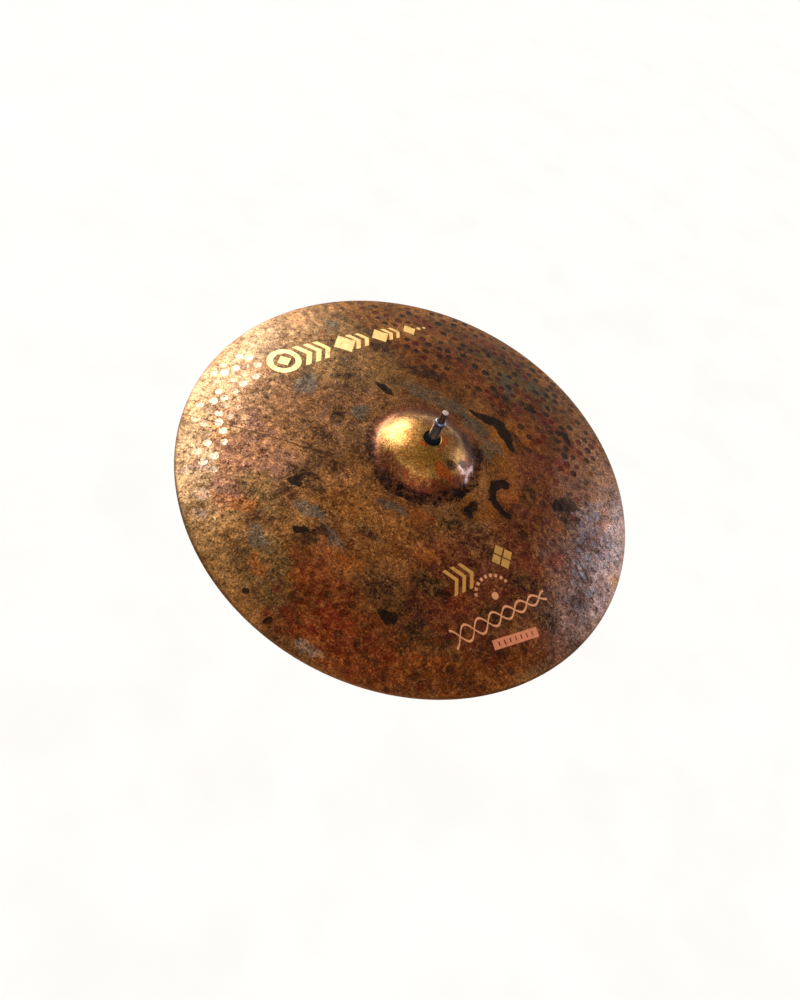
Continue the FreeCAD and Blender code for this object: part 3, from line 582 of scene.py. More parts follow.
def bronze_material():
    """Burnt and blotched raw bronze over the washes and patches stored on the mesh."""
    g = Graph("bronze_patina")
    flat = g.vector("MULTIPLY", g.place, (1.0, 1.0, 0.0))
    radius = g.vector("LENGTH", flat, output="Value")
    crust = spread(g, g.noise(12, 9, 0.72, shift=71))
    islands = spread(g, g.noise(22, 10, 0.72, shift=143))
    grit = spread(g, g.noise(4.2, 6, 0.74, shift=211))
    grain = spread(g, g.noise(1.7, 4, 0.72, shift=5))
    shore = g.math("ADD", g.math("MULTIPLY", crust, 0.70), g.math("MULTIPLY", grit, 0.50))
    crumbed = g.attribute("crumbed")

    # scorched islands, then the patches
    colour = g.attribute("wash", "Color")
    scorch = g.fit(g.math("ADD", islands, g.math("MULTIPLY", grit, 0.45)), 0.08, 0.14)
    burnt_down = g.blend(1.0, colour, (0.46, 0.38, 0.34, 1), "MULTIPLY")
    colour = g.blend(g.math("MULTIPLY", scorch, 0.60), colour, burnt_down)
    colour, cover_of = lay_patches(g, colour, shore)

    # crisp golden crumbs and veins where the crust has broken away, and dark ones where it is left
    vein = g.noise(7.5, 7, 0.70, 0.9, shift=401)
    vein = g.fit(g.math("ABSOLUTE", g.math("SUBTRACT", vein, 0.5)), 0.021, 0.013)
    crumbs = g.fit(g.math("ADD", crust, g.math("MULTIPLY", grit, 0.9)), 0.22, 0.27)
    filigree = spread(g, g.noise(3.0, 5, 0.72, 0.6, shift=617))
    kept = g.fit(g.math("ADD", crust, grit), -0.45, 0.25)
    filigree = g.math("MULTIPLY", g.fit(filigree, 0.12, 0.17), kept)
    crumbs = g.most([vein, crumbs, g.math("MULTIPLY", filigree, 0.8)])
    crumbs = g.math("MULTIPLY", crumbs, g.fit(cover_of["black"], 0, 0.8, 1.0, 0.12))
    bright = g.blend(1.0, colour, (2.2, 2.1, 1.9, 1), "MULTIPLY")
    gilded = g.blend(1.0, g.attribute("crumb", "Color"), g.fit(grit, -0.5, 0.5, 0.45, 1.0), "MULTIPLY")
    gilded = g.blend(g.fit(cover_of["slate"], 0, 0.68, 0.5, 0.0), bright, gilded)
    colour = g.blend(g.math("MULTIPLY", crumbs, g.fit(crumbed, 0, 1, 0.48, 0.78)), colour, gilded)
    soot = g.noise(9, 8, 0.74, 0.5, shift=523)
    soot = g.fit(g.math("ADD", spread(g, soot), g.math("MULTIPLY", grain, 0.4)), 0.36, 0.42)
    sooted = g.blend(1.0, colour, (0.36, 0.28, 0.25, 1), "MULTIPLY")
    colour = g.blend(g.math("MULTIPLY", soot, 0.8), colour, sooted)

    # fine turning lines round the bell's foot, broken up
    waver = g.math("ADD", g.math("MULTIPLY", islands, 1.6), g.math("MULTIPLY", crust, 0.5))
    turning = g.math("SINE", g.math("MULTIPLY", g.math("ADD", radius, waver), 3.4))
    turning_zone = g.math("MULTIPLY", g.fit(radius, 40, 43), g.fit(radius, 60, 47))
    turning_zone = g.math("MULTIPLY", turning_zone, g.fit(grit, -0.2, 0.3))
    turning = g.math("MULTIPLY", g.fit(turning, 0.3, 0.9), turning_zone)
    colour = g.blend(g.math("MULTIPLY", turning, 0.5), colour, srgb(178, 128, 90))

    ring_noise = g.math("ADD", radius, g.math("MULTIPLY", shore, 4.2))
    colour, dome = lay_bell(g, colour, flat, ring_noise, crust, shore, soot, crumbs)
    colour = lay_hammer_marks(g, colour, grit)

    # fine grain, black specks that are thickest on the pale edge, a grimy rim and long scratches
    dust = spread(g, g.noise(1.3, 2, 0.85, shift=37))
    tooth = g.math("ADD", g.math("MULTIPLY", grain, 0.46), g.math("MULTIPLY", dust, 0.78))
    colour = g.blend(1.0, colour, g.math("EXPONENT", g.math("SUBTRACT", tooth, 0.15)), "MULTIPLY")
    speck = g.noise(2.6, 5, 0.7, shift=301)
    speck = g.fit(g.math("ADD", speck, g.fit(radius, 60, 172, -0.03, 0.04)), 0.59, 0.61)
    colour = g.blend(g.math("MULTIPLY", speck, g.fit(crumbed, 0, 1, 0.45, 0.9)), colour, srgb(42, 26, 15))
    grime = g.fit(g.math("ADD", radius, g.math("MULTIPLY", grit, 0.9)), 175.8, 177.0)
    colour = g.blend(g.math("MULTIPLY", grime, 0.7), colour, srgb(84, 56, 34))
    scratches = g.most([bar_mark(g, *scratch) for scratch in SCRATCHES])
    scratches = g.math("MULTIPLY", scratches, g.fit(grit, -0.6, 0.1))
    colour = g.blend(g.math("MULTIPLY", scratches, 0.85), colour, srgb(48, 28, 20))

    colour, marks = lay_ornaments(g, colour, grit)

    # a warmer cast, least where the crumbs are thick
    warmed = g.blend(1.0, colour, (1.13, 0.95, 0.72, 1), "MULTIPLY")
    colour = g.blend(g.fit(crumbed, 0, 1, 1.0, 0.2), colour, warmed)
    rough = g.fit(crust, -0.6, 0.6, 0.44, 0.32)
    rough = g.math("ADD", rough, g.math("MULTIPLY", grain, 0.06))
    rough = g.math("SUBTRACT", rough, g.math("MULTIPLY", dome, 0.10))
    rough = g.math("ADD", rough, g.math("MULTIPLY", g.math("MAXIMUM", cover_of["black"], marks), 0.12))
    metal = g.fit(crust, -0.6, 0.6, 0.86, 0.97)
    relief = g.math("ADD", g.math("MULTIPLY", grain, 0.12), g.math("MULTIPLY", crust, 0.4))
    relief = g.math("ADD", relief, g.math("MULTIPLY", turning, 0.3))
    return g.finish(Base_Color=colour, Metallic=metal, Roughness=rough, Normal=g.bump(relief, 0.0003, 0.5))


def underside_material():
    """The cymbal's lower face: browner, duller and less varied, with burnt marks."""
    g = Graph("bronze_underside")
    blotch = g.noise(40, 7, 0.64, shift=17)
    crust = g.noise(12, 9, 0.72, shift=57)
    grain = g.noise(1.5, 4, 0.7, shift=3)
    colour = g.blend(g.fit(blotch, 0.38, 0.62), srgb(94, 60, 34), srgb(150, 106, 60))
    colour = g.blend(g.math("MULTIPLY", g.fit(crust, 0.52, 0.57), 0.45), colour, srgb(164, 120, 74))
    colour = g.blend(g.math("MULTIPLY", g.fit(crust, 0.45, 0.38), 0.5), colour, srgb(66, 42, 30))
    tarnish = g.fit(g.noise(55, 4, 0.6, shift=99), 0.52, 0.62)
    colour = g.blend(g.math("MULTIPLY", tarnish, 0.6), colour, srgb(104, 58, 44))
    within = g.fit(g.attribute("mark_reach"), 1.05, 0.7, smooth=True)
    colour = g.blend(g.math("MULTIPLY", within, 0.55), colour, srgb(66, 40, 22))
    toothed = g.blend(g.fit(grain, 0.3, 0.7), (0.6, 0.6, 0.6, 1), (1.4, 1.4, 1.4, 1))
    colour = g.blend(1.0, colour, toothed, "MULTIPLY")
    rough = g.math("ADD", g.fit(crust, 0.35, 0.65, 0.52, 0.36), g.fit(grain, 0.3, 0.7, -0.05, 0.07))
    normal = g.bump(g.math("ADD", g.math("MULTIPLY", grain, 0.5), crust), 0.00022, 0.5)
    return g.finish(Base_Color=colour, Metallic=0.9, Roughness=rough, Normal=normal)


# ---------------------------------------------------------------- materials of the mount

def plated_material(name, tint, rough, wear_tint, pitted=0.0, metallic=1.0):
    """Plating with fine rubbing marks and smudges, and a soft uneven skin as far as it is pitted."""
    g = Graph(name)
    smudge = g.noise(7, 5, 0.62, shift=21)
    rub = g.noise(1.1, 4, 0.7, distortion=1.5)
    grime = g.fit(g.noise(4, 7, 0.7, shift=63), 0.57, 0.66)
    colour = g.blend(g.fit(smudge, 0.35, 0.68), tint, [channel * 0.82 for channel in tint[:3]] + [1.0])
    colour = g.blend(g.math("MULTIPLY", grime, 0.45), colour, wear_tint)
    roughness = g.math("ADD", g.fit(smudge, 0.35, 0.7, rough, rough + 0.12), g.math("MULTIPLY", grime, 0.22))
    roughness = g.math("ADD", roughness, g.fit(rub, 0.3, 0.75, 0.0, 0.06))
    pits = g.math("MULTIPLY", g.noise(2.4, 3, 0.5, shift=9), pitted)
    skin = g.math("ADD", g.math("MULTIPLY", rub, 0.25), pits)
    return g.finish(Base_Color=colour, Metallic=metallic, Roughness=roughness,
                    Normal=g.bump(skin, 0.00006, 0.5))


def fibre_material():
    """Red-brown pressed fibre with rubbed flecks."""
    g = Graph("red_fibre")
    flecks = g.noise(1.3, 5, 0.75, distortion=0.8)
    rubbed = g.fit(g.noise(6, 4, 0.6, shift=33), 0.45, 0.65)
    colour = g.blend(g.fit(flecks, 0.35, 0.65), srgb(96, 34, 24), srgb(150, 66, 44))
    colour = g.blend(g.math("MULTIPLY", rubbed, 0.4), colour, srgb(70, 48, 40))
    return g.finish(Base_Color=colour, Roughness=g.fit(flecks, 0.3, 0.7, 0.75, 0.5),
                    Normal=g.bump(flecks, 0.00008, 0.7))


def nylon_material():
    """Black moulded nylon, scuffed where it rubs."""
    g = Graph("black_nylon")
    scuff = g.fit(g.noise(2.2, 6, 0.7, distortion=1.0), 0.54, 0.66)
    mottle = g.noise(0.8, 3, 0.6, shift=5)
    colour = g.blend(g.math("MULTIPLY", scuff, 0.4), srgb(7, 7, 8), srgb(30, 28, 27))
    return g.finish(Base_Color=colour, Roughness=g.fit(scuff, 0, 1, 0.72, 0.85), Specular_IOR_Level=0.12,
                    Normal=g.bump(mottle, 0.00005, 0.6))


def felt_material(name, light):
    """Pressed grey wool: tangled strands, paler where the nap stands up."""
    g = Graph(name)
    tangle = g.noise(1.0, 6, 0.78, distortion=2.5)
    clumps = g.noise(4.5, 4, 0.6, shift=13)
    dark = srgb(44 * light, 44 * light, 47 * light)
    pale = srgb(96 * light, 95 * light, 98 * light)
    colour = g.blend(g.fit(tangle, 0.32, 0.68), dark, pale)
    colour = g.blend(g.math("MULTIPLY", g.fit(clumps, 0.4, 0.7), 0.35), colour, srgb(78, 70, 62))
    relief = g.math("ADD", tangle, g.math("MULTIPLY", clumps, 0.6))
    return g.finish(Base_Color=colour, Roughness=g.fit(tangle, 0.3, 0.7, 0.95, 0.8),
                    Sheen_Weight=0.5, Sheen_Roughness=0.5, Normal=g.bump(relief, 0.0004, 0.9))


def floor_material():
    """Pale matt studio floor with a barely visible mottle."""
    g = Graph("studio_floor")
    mottle = g.noise(220, 3, 0.5)
    colour = g.blend(g.fit(mottle, 0.3, 0.7), (0.90, 0.90, 0.90, 1), (0.94, 0.94, 0.94, 1))
    return g.finish(Base_Color=colour, Roughness=0.9)


# ---------------------------------------------------------------- mesh helpers

def new_object(name, vertices, faces, materials, smooth=True):
    mesh = bpy.data.meshes.new(name)
    mesh.from_pydata(vertices, [], faces)
    mesh.update()
    if smooth:
        mesh.shade_smooth()
    else:
        mesh.shade_flat()
    for material in materials:
        mesh.materials.append(material)
    piece = bpy.data.objects.new(name, mesh)
    bpy.context.scene.collection.objects.link(piece)
    return piece


def bridge(first, first_count, second, second_count):
    """Faces between two closed rings of vertices whose counts are equal, or double, or half."""
    faces = []
    if first_count == second_count:
        for k in range(first_count):
            after = (k + 1) % first_count
            faces.append((first + k, first + after, second + after, second + k))
        return faces
    turned = first_count > second_count
    few, few_count, many = (second, second_count, first) if turned else (first, first_count, second)
    for k in range(few_count):
        a, b = few + k, few + (k + 1) % few_count
        p, q, r = many + 2 * k, many + 2 * k + 1, many + (2 * k + 2) % (2 * few_count)
        fan = [(a, q, p), (a, b, q), (b, r, q)]
        if turned:
            fan = [(x, z, y) for x, y, z in fan]
        faces.extend(fan)
    return faces


def lathe(rings, closed=False):
    """Vertices and faces of a surface through rings given as radius, height and count."""
    vertices, faces, starts = [], [], []
    for radius, height, count in rings:
        starts.append(len(vertices))
        for k in range(count):
            angle = 2 * math.pi * k / count
            vertices.append((radius * math.cos(angle), radius * math.sin(angle), height))
    pairs = list(zip(range(len(rings) - 1), range(1, len(rings))))
    if closed:
        pairs.append((len(rings) - 1, 0))
    for i, j in pairs:
        faces.extend(bridge(starts[i], rings[i][2], starts[j], rings[j][2]))
    return vertices, faces, starts


# ---------------------------------------------------------------- cymbal

MARK_SEED = 20
EDGE_ROUND = 0.35 * MM
FACE_STEP = 1.42 * MM
FINEST_RING = 840

# bands of hammer marks, in millimetres: inner and outer radius, spacing, radius of a mark and its depth
TOP_BANDS = ((84, 173, 7.4, 3.0, 0.23), (54, 84, 8.6, 2.9, 0.17), (13, 33, 6.8, 2.3, 0.09))
LOW_BANDS = ((60, 170, 11.0, 3.2, 0.12),)
FAR_REACH = 3.0
DENT_REACH = 1.25
LONG_WAVES = 14


def hammer_marks(rng, bands):
    """Scattered hammer marks: x, y, radius, depth and tone, no two nearer than their band's spacing."""
    marks = []
    for low, high, spacing, size, depth in bands:
        grid = {}
        tries = int(9 * math.pi * (high ** 2 - low ** 2) / spacing ** 2)
        for _ in range(tries):
            r = math.sqrt(rng.uniform(low ** 2, high ** 2))
            angle = rng.uniform(0, 2 * math.pi)
            x, y = r * math.cos(angle), r * math.sin(angle)
            cell = (int(x // spacing), int(y // spacing))
            around = [grid.get((cell[0] + i, cell[1] + j), []) for i in (-1, 0, 1) for j in (-1, 0, 1)]
            if all(math.hypot(x - p, y - q) > spacing for group in around for p, q in group):
                grid.setdefault(cell, []).append((x, y))
                marks.append((x, y, size * rng.uniform(0.85, 1.15), depth * rng.uniform(0.6, 1.3),
                              rng.random()))
    return marks


def arc_of_profile(centre_r, centre_z, radius, start, end, step):
    """Points r, z along an arc from angle start to angle end."""
    count = max(2, round(abs(end - start) * radius / step))
    return [(centre_r + radius * math.cos(start + (end - start) * i / count),
             centre_z + radius * math.sin(start + (end - start) * i / count)) for i in range(count + 1)]


def face_profile(inset, step):
    """One face of the metal as points from the hole to the edge: bell, concave foot, bow."""
    rise = BELL_CENTRE - BOW_CENTRE
    outer, inner = BOW_RADIUS + FOOT_RADIUS, BELL_RADIUS + FOOT_RADIUS
    foot_up = (outer ** 2 - inner ** 2 + rise ** 2) / (2 * rise)
    foot_r = math.sqrt(outer ** 2 - foot_up ** 2)
    foot_z = BOW_CENTRE + foot_up
    bow_angle = math.atan2(foot_z - BOW_CENTRE, foot_r)
    bell_angle = math.atan2(foot_z - BELL_CENTRE, foot_r)
    bell = arc_of_profile(0, BELL_CENTRE, BELL_RADIUS - inset,
                          math.acos(HOLE_RADIUS / (BELL_RADIUS - inset)), bell_angle, step)
    foot = arc_of_profile(foot_r, foot_z, FOOT_RADIUS + inset,
                          bell_angle + math.pi, bow_angle + math.pi, step)
    bow = arc_of_profile(0, BOW_CENTRE, BOW_RADIUS - inset,
                         bow_angle, math.acos(EDGE_RADIUS / (BOW_RADIUS - inset)), step)
    return bell + foot[1:] + bow[1:]


def ring_count(radius, finest):
    """Segments of a ring: the finest count far out, half of it nearer in, a quarter at the bell."""
    if radius > 90 * MM:
        return finest
    return finest // 2 if radius > 45 * MM else finest // 4


def cymbal_shell():
    """The closed shell before it is dented: vertices, faces, and where the underside and the bore start."""
    top = face_profile(0.0, FACE_STEP)
    under = face_profile(METAL, 2 * FACE_STEP)[::-1]

    # round the corners of the rim and of the hole by pulling their end points back
    top[0] = (top[0][0] + EDGE_ROUND, top[0][1])
    top[-1] = (top[-1][0] - EDGE_ROUND, top[-1][1] + 0.1 * EDGE_ROUND)
    under[0] = (under[0][0] - EDGE_ROUND, under[0][1])
    under[-1] = (under[-1][0] + EDGE_ROUND, under[-1][1])
    rim_top, rim_low = top[-1][1], under[0][1]
    rim = [(EDGE_RADIUS - 0.1 * EDGE_ROUND, rim_top - EDGE_ROUND), (EDGE_RADIUS, 0.5 * (rim_top + rim_low)),
           (EDGE_RADIUS - 0.1 * EDGE_ROUND, rim_low + EDGE_ROUND)]
    hole_top, hole_low = top[0][1], under[-1][1]

    rings = [(r, z, ring_count(r, FINEST_RING)) for r, z in top]
    rings += [(r, z, FINEST_RING) for r, z in rim]
    rings += [(r, z, ring_count(r, FINEST_RING // 2)) for r, z in under]
    rings += [(HOLE_RADIUS, hole_low + EDGE_ROUND, FINEST_RING // 8),
              (HOLE_RADIUS, hole_top - EDGE_ROUND, FINEST_RING // 4)]
    vertices, faces, starts = lathe(rings, closed=True)
    under_start, bore_start = starts[len(top) + len(rim)], starts[len(top) + len(rim) + len(under)]
    return np.array(vertices), [face[::-1] for face in faces], under_start, bore_start


def dents(points, marks, first, last, reach, dent, nearest):
    """Fill in each vertex's reach to the nearest mark, how deep that mark dents it and the mark's number."""
    tree = KDTree(len(marks))
    for i, mark in enumerate(marks):
        tree.insert((mark[0], mark[1], 0.0), i)
    tree.balance()
    for v in range(first, last):
        x, y = points[v, 0] / MM, points[v, 1] / MM
        _, i, distance = tree.find((x, y, 0.0))
        _, _, radius, depth, _ = marks[i]
        reach[v] = min(distance / radius, FAR_REACH)
        nearest[v] = i
        if reach[v] < DENT_REACH:
            dent[v] = depth * (1 - (reach[v] / DENT_REACH) ** 2) ** 2


def long_waves(rng, points):
    """Height of the gentle roll of a hand-worked sheet, in millimetres: a few long waves of small height."""
    roll = np.zeros(len(points))
    for _ in range(LONG_WAVES):
        heading = rng.uniform(0, 2 * math.pi)
        length = rng.uniform(18, 60)
        phase = rng.uniform(0, 2 * math.pi)
        along = (points[:, 0] * math.cos(heading) + points[:, 1] * math.sin(heading)) / MM
        roll += np.sin(along * 2 * math.pi / length + phase) * length * 0.0006
    return roll


def store_marks(mesh, marks, reach, on_top):
    """Store each vertex's reach, and the tone of its nearest mark: how burnt and how pale it is, and how
    much bluish painted sheen it takes.
    """
    add_values(mesh, "mark_reach", reach)
    mark_x, mark_y, _, _, tones = np.array(marks).T
    burnt = np.maximum(0.95 * ramp(inside(mark_x, mark_y, BURNT), 0.3),
                       0.60 * ramp(inside(mark_x, mark_y, HALF_BURNT), 0.4))
    for name, strength in (
        ("mark_tone", tones),
        ("mark_burnt", burnt * np.clip(tones / 0.2, 0.55, 1)),
        ("mark_pale", ramp(inside(mark_x, mark_y, SCRAPED), 0.15) * np.clip(tones * 3 - 0.5, 0.1, 0.85)),
        ("mark_cool", ramp(inside(mark_x, mark_y, COOL_SHEEN_ZONE), 0.4) * np.clip(tones, 0.1, 0.6)),
    ):
        add_values(mesh, name, strength[on_top])


def build_cymbal():
    """A closed shell of even thickness whose faces are dented by hammer marks and slightly uneven."""
    points, faces, under_start, bore_start = cymbal_shell()
    rng = random.Random(MARK_SEED)
    top_marks = hammer_marks(rng, TOP_BANDS)
    low_marks = hammer_marks(rng, LOW_BANDS)
    reach = np.full(len(points), FAR_REACH)
    dent = np.zeros(len(points))
    nearest = np.zeros(len(points), dtype=int)
    dents(points, top_marks, 0, under_start, reach, dent, nearest)
    dents(points, low_marks, under_start, bore_start, reach, dent, nearest)

    # the waves fade at the hole and the rim, and the dents are shallower on the bell's steep side
    radial = np.hypot(points[:, 0], points[:, 1]) / MM
    fade = np.clip((radial - 12) / 20, 0, 1) * np.clip((178 - radial) / 8, 0, 1)
    points[:, 2] += (long_waves(rng, points) * fade) * MM
    upper = np.arange(len(points)) < under_start
    slope = np.clip((radial - 20) / 14, 0, 1) * np.clip((44 - radial) / 6, 0, 1)
    points[:, 2] += np.where(upper, -1.0, 1.0) * dent * MM * (1 - 0.6 * slope)

    # a low lip pressed up round the hole
    lip = np.exp(-((radial - 8.6) / 1.1) ** 2) * 0.16 * MM
    points[:under_start, 2] += lip[:under_start]

    piece = new_object("hammered_cymbal", points.tolist(), faces, [bronze_material(), underside_material()])
    mesh = piece.data
    paint_patina(mesh, points[:, 0] / MM, points[:, 1] / MM)
    store_marks(mesh, top_marks, reach, np.where(upper, nearest, 0))
    first_corner = np.empty(len(mesh.polygons), dtype=np.int32)
    mesh.polygons.foreach_get("loop_start", first_corner)
    corner_vertices = np.empty(len(mesh.loops), dtype=np.int32)
    mesh.loops.foreach_get("vertex_index", corner_vertices)
    lower_face = (corner_vertices[first_corner] >= under_start).astype(np.int32)
    mesh.polygons.foreach_set("material_index", lower_face)
    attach(piece, "cymbal")
    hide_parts("cymbal")


# ---------------------------------------------------------------- threaded parts

SHANK_RADIUS = 4.0 * MM
TIP_RADIUS = 2.5 * MM
TIP_LENGTH = 9.8 * MM
TIP_PITCH = 0.8 * MM
SCREW_RADIUS = 4.0 * MM
SCREW_PLAIN = 16 * MM
SCREW_PITCH = 1.25 * MM


def thread_rings(crest, start, end, pitch, count, per_turn):
    """Close rings of the thread's outer radius from start to end, for cut_thread to pull in."""
    steps = int(round((end - start) / pitch * per_turn))
    return [(crest, start + (end - start) * i / steps, count) for i in range(steps + 1)]


def cut_thread(vertices, first, last, axis_radius, depth, pitch, low, high):
    """Pull vertices inwards along a helix between the heights low and high, fading in and out."""
    for v in range(first, last):
        x, y, z = vertices[v]
        turn = (math.atan2(y, x) / (2 * math.pi) + z / pitch) % 1.0
        groove = abs(turn - 0.5) * 2
        groove = min(max((groove - 0.12) / 0.76, 0.0), 1.0)
        ease = min((z - low) / (0.8 * pitch), (high - z) / (0.8 * pitch), 1.0)
        radius = axis_radius - depth * groove * max(ease, 0.0)
        scale = radius / math.hypot(x, y)
        vertices[v] = (x * scale, y * scale, z)


def build_post():
    """Polished shank, chamfered shoulder, and a tip with a modelled thread."""
    count = 72
    shank, tip, pitch = SHANK_RADIUS, TIP_RADIUS, TIP_PITCH
    low, high = POST_LOW[2], POST_HIGH[2]
    shoulder = high - TIP_LENGTH
    chamfer, soft = 0.6 * MM, 0.12 * MM
    body = [(0.4 * MM, low, count), (shank - 0.5 * MM, low, count), (shank, low + 0.5 * MM, count)]
    for i in range(1, 12):
        body.append((shank, low + 0.5 * MM + (shoulder - chamfer - low - 0.5 * MM) * i / 12, count))
    body += [(shank, shoulder - chamfer - soft, count),
             (shank - soft * 0.4, shoulder - chamfer + soft, count),
             (shank - chamfer + soft * 0.4, shoulder - soft, count),
             (shank - chamfer - soft, shoulder, count),
             (tip + 0.05 * MM, shoulder, count)]
    threaded = thread_rings(tip, shoulder + 0.7 * MM, high - 0.4 * MM, pitch, count, 10)
    neck = [(tip - 0.35 * MM, shoulder + 0.15 * MM, count), (tip - 0.35 * MM, shoulder + 0.5 * MM, count)]
    cap = [(tip - 0.3 * MM, high - 0.06 * MM, count), (tip - 0.45 * MM, high, count),
           (0.3 * MM, high, count)]
    rings = body + neck + threaded + cap
    vertices, faces, starts = lathe(rings)
    first = starts[len(body) + len(neck)]
    last = starts[len(body) + len(neck) + len(threaded)]
    cut_thread(vertices, first, last, tip, 0.38 * MM, pitch, shoulder + 0.7 * MM, high + pitch)
    faces.append(tuple(range(count))[::-1])
    faces.append(tuple(range(starts[-1], starts[-1] + count)))
    # the chrome's bluish tint is partly painted reflection, standing in for a bluish room mirrored in the
    # shank
    chrome = plated_material("post_chrome", srgb(116, 130, 156), 0.07, srgb(26, 24, 24), metallic=0.94)
    # the thread's dark brown is partly painted reflection of the bronze around it, over dark steel
    worn = plated_material("thread_steel", srgb(66, 46, 36), 0.30, srgb(30, 20, 16), pitted=0.6)
    sawn = plated_material("sawn_end", srgb(206, 188, 178), 0.42, srgb(120, 96, 84), pitted=0.4,
                           metallic=0.7)
    piece = new_object("threaded_post", vertices, faces, [chrome, worn, sawn])
    tip_start, cap_start = starts[len(body)], starts[len(rings) - len(cap)]
    for polygon in piece.data.polygons:
        lowest = min(polygon.vertices)
        polygon.material_index = 2 if lowest >= cap_start else 1 if lowest >= tip_start - count else 0
    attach(piece, "tilter_head")
    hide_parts("post")


def build_clamp_screw():
    """The clamp screw with its thread, which shows beyond the nut."""
    count = 64
    radius, pitch = SCREW_RADIUS, SCREW_PITCH
    start, end = SCREW_LOW[1], SCREW_HIGH[1]
    plain_end = start + SCREW_PLAIN
    body = [(0.3 * MM, start, count), (radius, start, count), (radius, plain_end, count)]
    threaded = thread_rings(radius, plain_end, end - 0.7 * MM, pitch, count, 8)
    rings = body + threaded + [(radius - 0.9 * MM, end, count), (0.3 * MM, end, count)]
    vertices, faces, starts = lathe(rings)
    first, last = starts[len(body)], starts[len(body) + len(threaded)]
    cut_thread(vertices, first, last, radius, 0.6 * MM, pitch, plain_end, end + pitch)
    faces.append(tuple(range(count))[::-1])
    faces.append(tuple(range(starts[-1], starts[-1] + count)))
    pivot = 0.5 * (SCREW_LOW[2] + SCREW_HIGH[2])
    vertices = [(x, z, pivot - y) for x, y, z in vertices]
    zinc = plated_material("screw_zinc", srgb(176, 176, 170), 0.28, srgb(92, 84, 72), pitted=0.5)
    piece = new_object("threaded_clamp_screw", vertices, faces, [zinc])
    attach(piece, "wing_bolt")
    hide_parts("clamp_screw")


# ---------------------------------------------------------------- felt

FELT_BORE = 6.3 * MM
FELT_FLAT = 13.5 * MM
FELT_BEVEL = 1.35 * MM
FELT_ROUND = 3.0 * MM
FIBRES = 900
FIBRE_THICKNESS = (0.05 * MM, 0.04 * MM, 0.015 * MM)


def felt_ring(rng):
    """The ring's vertices and faces: a bevel below, a rounded top edge and an uneven skin."""
    outer, inner, low, high = FELT_HIGH[0], FELT_BORE, FELT_LOW[2], FELT_HIGH[2]
    outline = [(inner, low + 0.5 * MM), (inner + 0.5 * MM, low)]
    outline += [(inner + 0.5 * MM + (FELT_FLAT - inner - 0.5 * MM) * i / 6, low) for i in range(1, 7)]
    outline += [(FELT_FLAT + (outer - FELT_FLAT) * i / 5, low + FELT_BEVEL * i / 5) for i in range(1, 6)]
    wall = high - FELT_ROUND - low - FELT_BEVEL
    outline += [(outer, low + FELT_BEVEL + wall * i / 8) for i in range(1, 9)]
    for i in range(1, 8):
        angle = math.pi / 2 * i / 7
        outline.append((outer - FELT_ROUND + FELT_ROUND * math.cos(angle),
                        high - FELT_ROUND + FELT_ROUND * math.sin(angle)))
    flat_top = outer - FELT_ROUND - inner - 0.5 * MM
    outline += [(outer - FELT_ROUND - flat_top * i / 8, high) for i in range(1, 9)]
    outline += [(inner, high - 0.5 * MM)]
    outline += [(inner, high - 0.5 * MM - (high - low - 1.0 * MM) * i / 8) for i in range(1, 8)]
    vertices, faces, _ = lathe([(r, z, 168) for r, z in outline], closed=True)
    points = np.array(vertices)
    for i in range(len(points)):
        push = rng.uniform(-0.14, 0.0) * MM
        r = math.hypot(points[i, 0], points[i, 1])
        points[i, 0] *= 1 + push / r
        points[i, 1] *= 1 + push / r
        if points[i, 2] > low + 2 * MM:
            points[i, 2] += rng.uniform(-0.14, 0.0) * MM
    return points.tolist(), [face[::-1] for face in faces]


def loose_fibres(rng):
    """Short bent three-sided strands that lie close to the ring's skin, as vertices and faces."""
    outer, low, high = FELT_HIGH[0], FELT_LOW[2], FELT_HIGH[2]
    up = Vector((0, 0, 1))
    strands, sides = [], []
    for _ in range(FIBRES):
        angle = rng.uniform(0, 2 * math.pi)
        height = rng.uniform(low + FELT_BEVEL + 0.5 * MM, high - 0.6 * MM)
        inset = max(0.0, height - (high - FELT_ROUND))
        reach = outer - FELT_ROUND + math.sqrt(max(FELT_ROUND ** 2 - inset ** 2, 0.0))
        root = Vector((reach * math.cos(angle), reach * math.sin(angle), height))
        out = Vector((math.cos(angle), math.sin(angle), 0.0))
        sideways = Vector((-math.sin(angle), math.cos(angle), 0.0))
        lean = (sideways * rng.uniform(-1, 1) + up * rng.uniform(-1, 0.6)).normalized()
        length = rng.uniform(0.6, 1.8) * MM
        lift = rng.uniform(0.05, 0.22) * MM
        bend = [root - out * 0.1 * MM, root + lean * length * 0.5 + out * lift, root + lean * length]
        start = len(strands)
        for thick, centre in zip(FIBRE_THICKNESS, bend):
            for corner in range(3):
                turn = 2 * math.pi * corner / 3
                strands.append(tuple(centre + (out * math.cos(turn) + up * math.sin(turn)) * thick))
        for step in range(2):
            for corner in range(3):
                a = start + step * 3 + corner
                b = start + step * 3 + (corner + 1) % 3
                sides.append((a, b, b + 3, a + 3))
        sides.append((start + 2, start + 1, start))
        sides.append((start + 6, start + 7, start + 8))
    return strands, sides


def build_felt():
    """A thick ring of pressed wool with loose fibres."""
    rng = random.Random(7)
    ring = new_object("wool_felt", *felt_ring(rng), [felt_material("wool", 1.0)])
    fibres = new_object("wool_fibres", *loose_fibres(rng), [felt_material("wool_nap", 1.25)])
    for soft in (ring, fibres):
        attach(soft, "tilter_head")
        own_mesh(soft)
    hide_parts("lower_felt")


# ---------------------------------------------------------------- CAD parts that keep their shape

def dress(node, material):
    """Give a CAD part its material."""
    mesh = NODES[node].data
    mesh.materials.clear()
    mesh.materials.append(material)


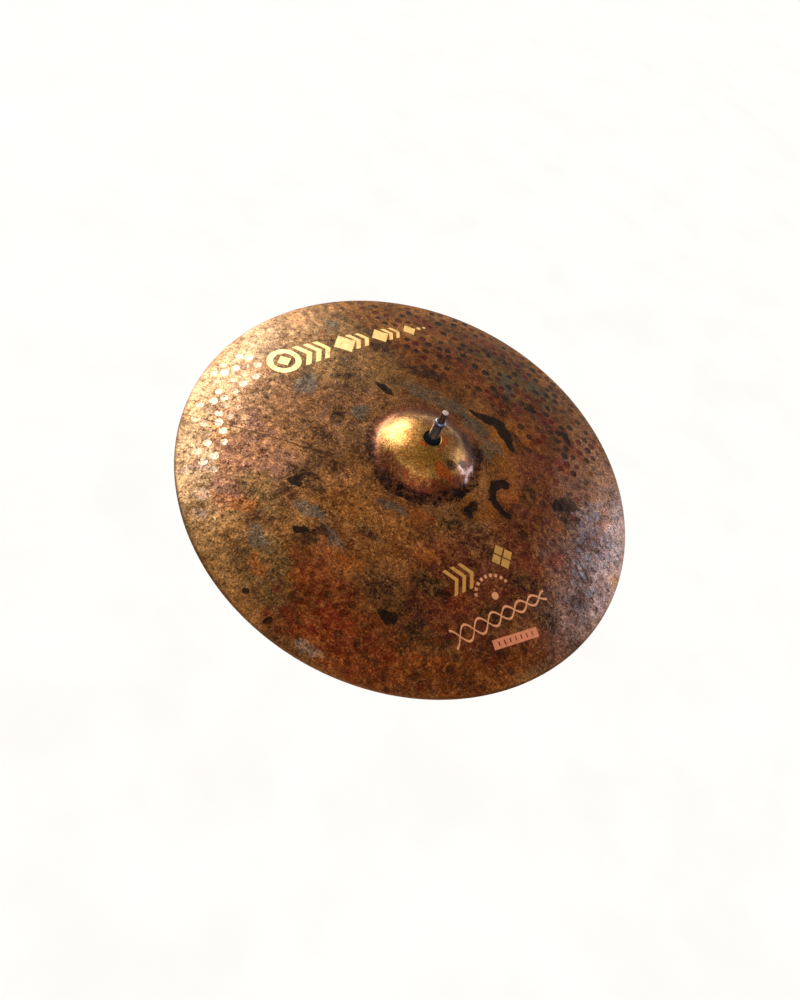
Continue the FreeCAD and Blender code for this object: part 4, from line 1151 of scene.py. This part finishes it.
def dress_mount():
    casting = plated_material("cast_chrome", srgb(190, 192, 196), 0.17, srgb(84, 78, 70), pitted=1.0)
    bright = plated_material("bright_chrome", srgb(204, 206, 210), 0.10, srgb(98, 88, 76))
    zinc = plated_material("zinc_steel", srgb(176, 176, 168), 0.30, srgb(96, 86, 70), pitted=0.4)
    black_steel = plated_material("black_steel", srgb(62, 62, 66), 0.34, srgb(40, 32, 28), pitted=0.6)
    for nodes, material in (
        (("tilter_base", "tilter_head", "wing_grip"), casting),
        (("cup_washer",), bright),
        (("hex_nut", "flat_washer", "spring_washer"), zinc),
        (("roll_pin", "socket_set_screw"), black_steel),
        (("friction_disc",), fibre_material()),
        (("sleeve",), nylon_material()),
    ):
        for node in nodes:
            dress(node, material)


# ---------------------------------------------------------------- camera, light and floor

def build_camera():
    data = bpy.data.cameras.new("view")
    data.sensor_width = SENSOR
    data.lens = VIEW_LENS
    camera = bpy.data.objects.new("view", data)
    centre = Vector((0, 0, EDGE_HEIGHT))
    back = Vector((0, -math.cos(VIEW_ELEVATION), math.sin(VIEW_ELEVATION)))
    camera.location = centre + back * VIEW_DISTANCE
    level = (VIEW_AIM - camera.location).to_track_quat("-Z", "Y")
    camera.rotation_mode = "QUATERNION"
    camera.rotation_quaternion = level @ Quaternion((0, 0, 1), VIEW_ROLL)
    bpy.context.scene.collection.objects.link(camera)
    bpy.context.scene.camera = camera


def add_soft_sun(name, direction, strength, width, tint):
    """Even light from a patch of sky, whose width is in degrees."""
    data = bpy.data.lights.new(name, "SUN")
    data.energy = strength
    data.angle = math.radians(width)
    data.color = tint
    light = bpy.data.objects.new(name, data)
    light.rotation_mode = "QUATERNION"
    light.rotation_quaternion = (-Vector(direction)).to_track_quat("-Z", "Y")
    bpy.context.scene.collection.objects.link(light)


def build_lights():
    add_soft_sun("window_low", (-0.77, 0.62, 0.19), 3.1, 40, (1.0, 0.96, 0.91))
    add_soft_sun("window_high", (-0.74, 0.30, 0.60), 1.0, 34, (1.0, 0.96, 0.90))
    add_soft_sun("cool_right", (0.76, 0.62, 0.20), 0.9, 34, (0.82, 0.88, 1.0))
    add_soft_sun("fill", (0.15, -0.80, 0.60), 1.0, 60, (1.0, 0.98, 0.95))
    world = bpy.data.worlds.new("studio")
    world.use_nodes = True
    background = world.node_tree.nodes["Background"]
    background.inputs[0].default_value = (1.0, 0.985, 0.96, 1.0)
    background.inputs[1].default_value = 0.48
    bpy.context.scene.world = world
    bpy.context.scene.view_settings.view_transform = "Standard"


def build_floor():
    signs = ((-1, -1), (1, -1), (1, 1), (-1, 1))
    corners = [(x * FLOOR_HALF, y * FLOOR_HALF, FLOOR_HEIGHT) for x, y in signs]
    floor = new_object("floor", corners, [(0, 1, 2, 3)], [floor_material()], smooth=False)


build_camera()
build_cymbal()
build_post()
build_clamp_screw()
build_felt()
dress_mount()
build_lights()
build_floor()
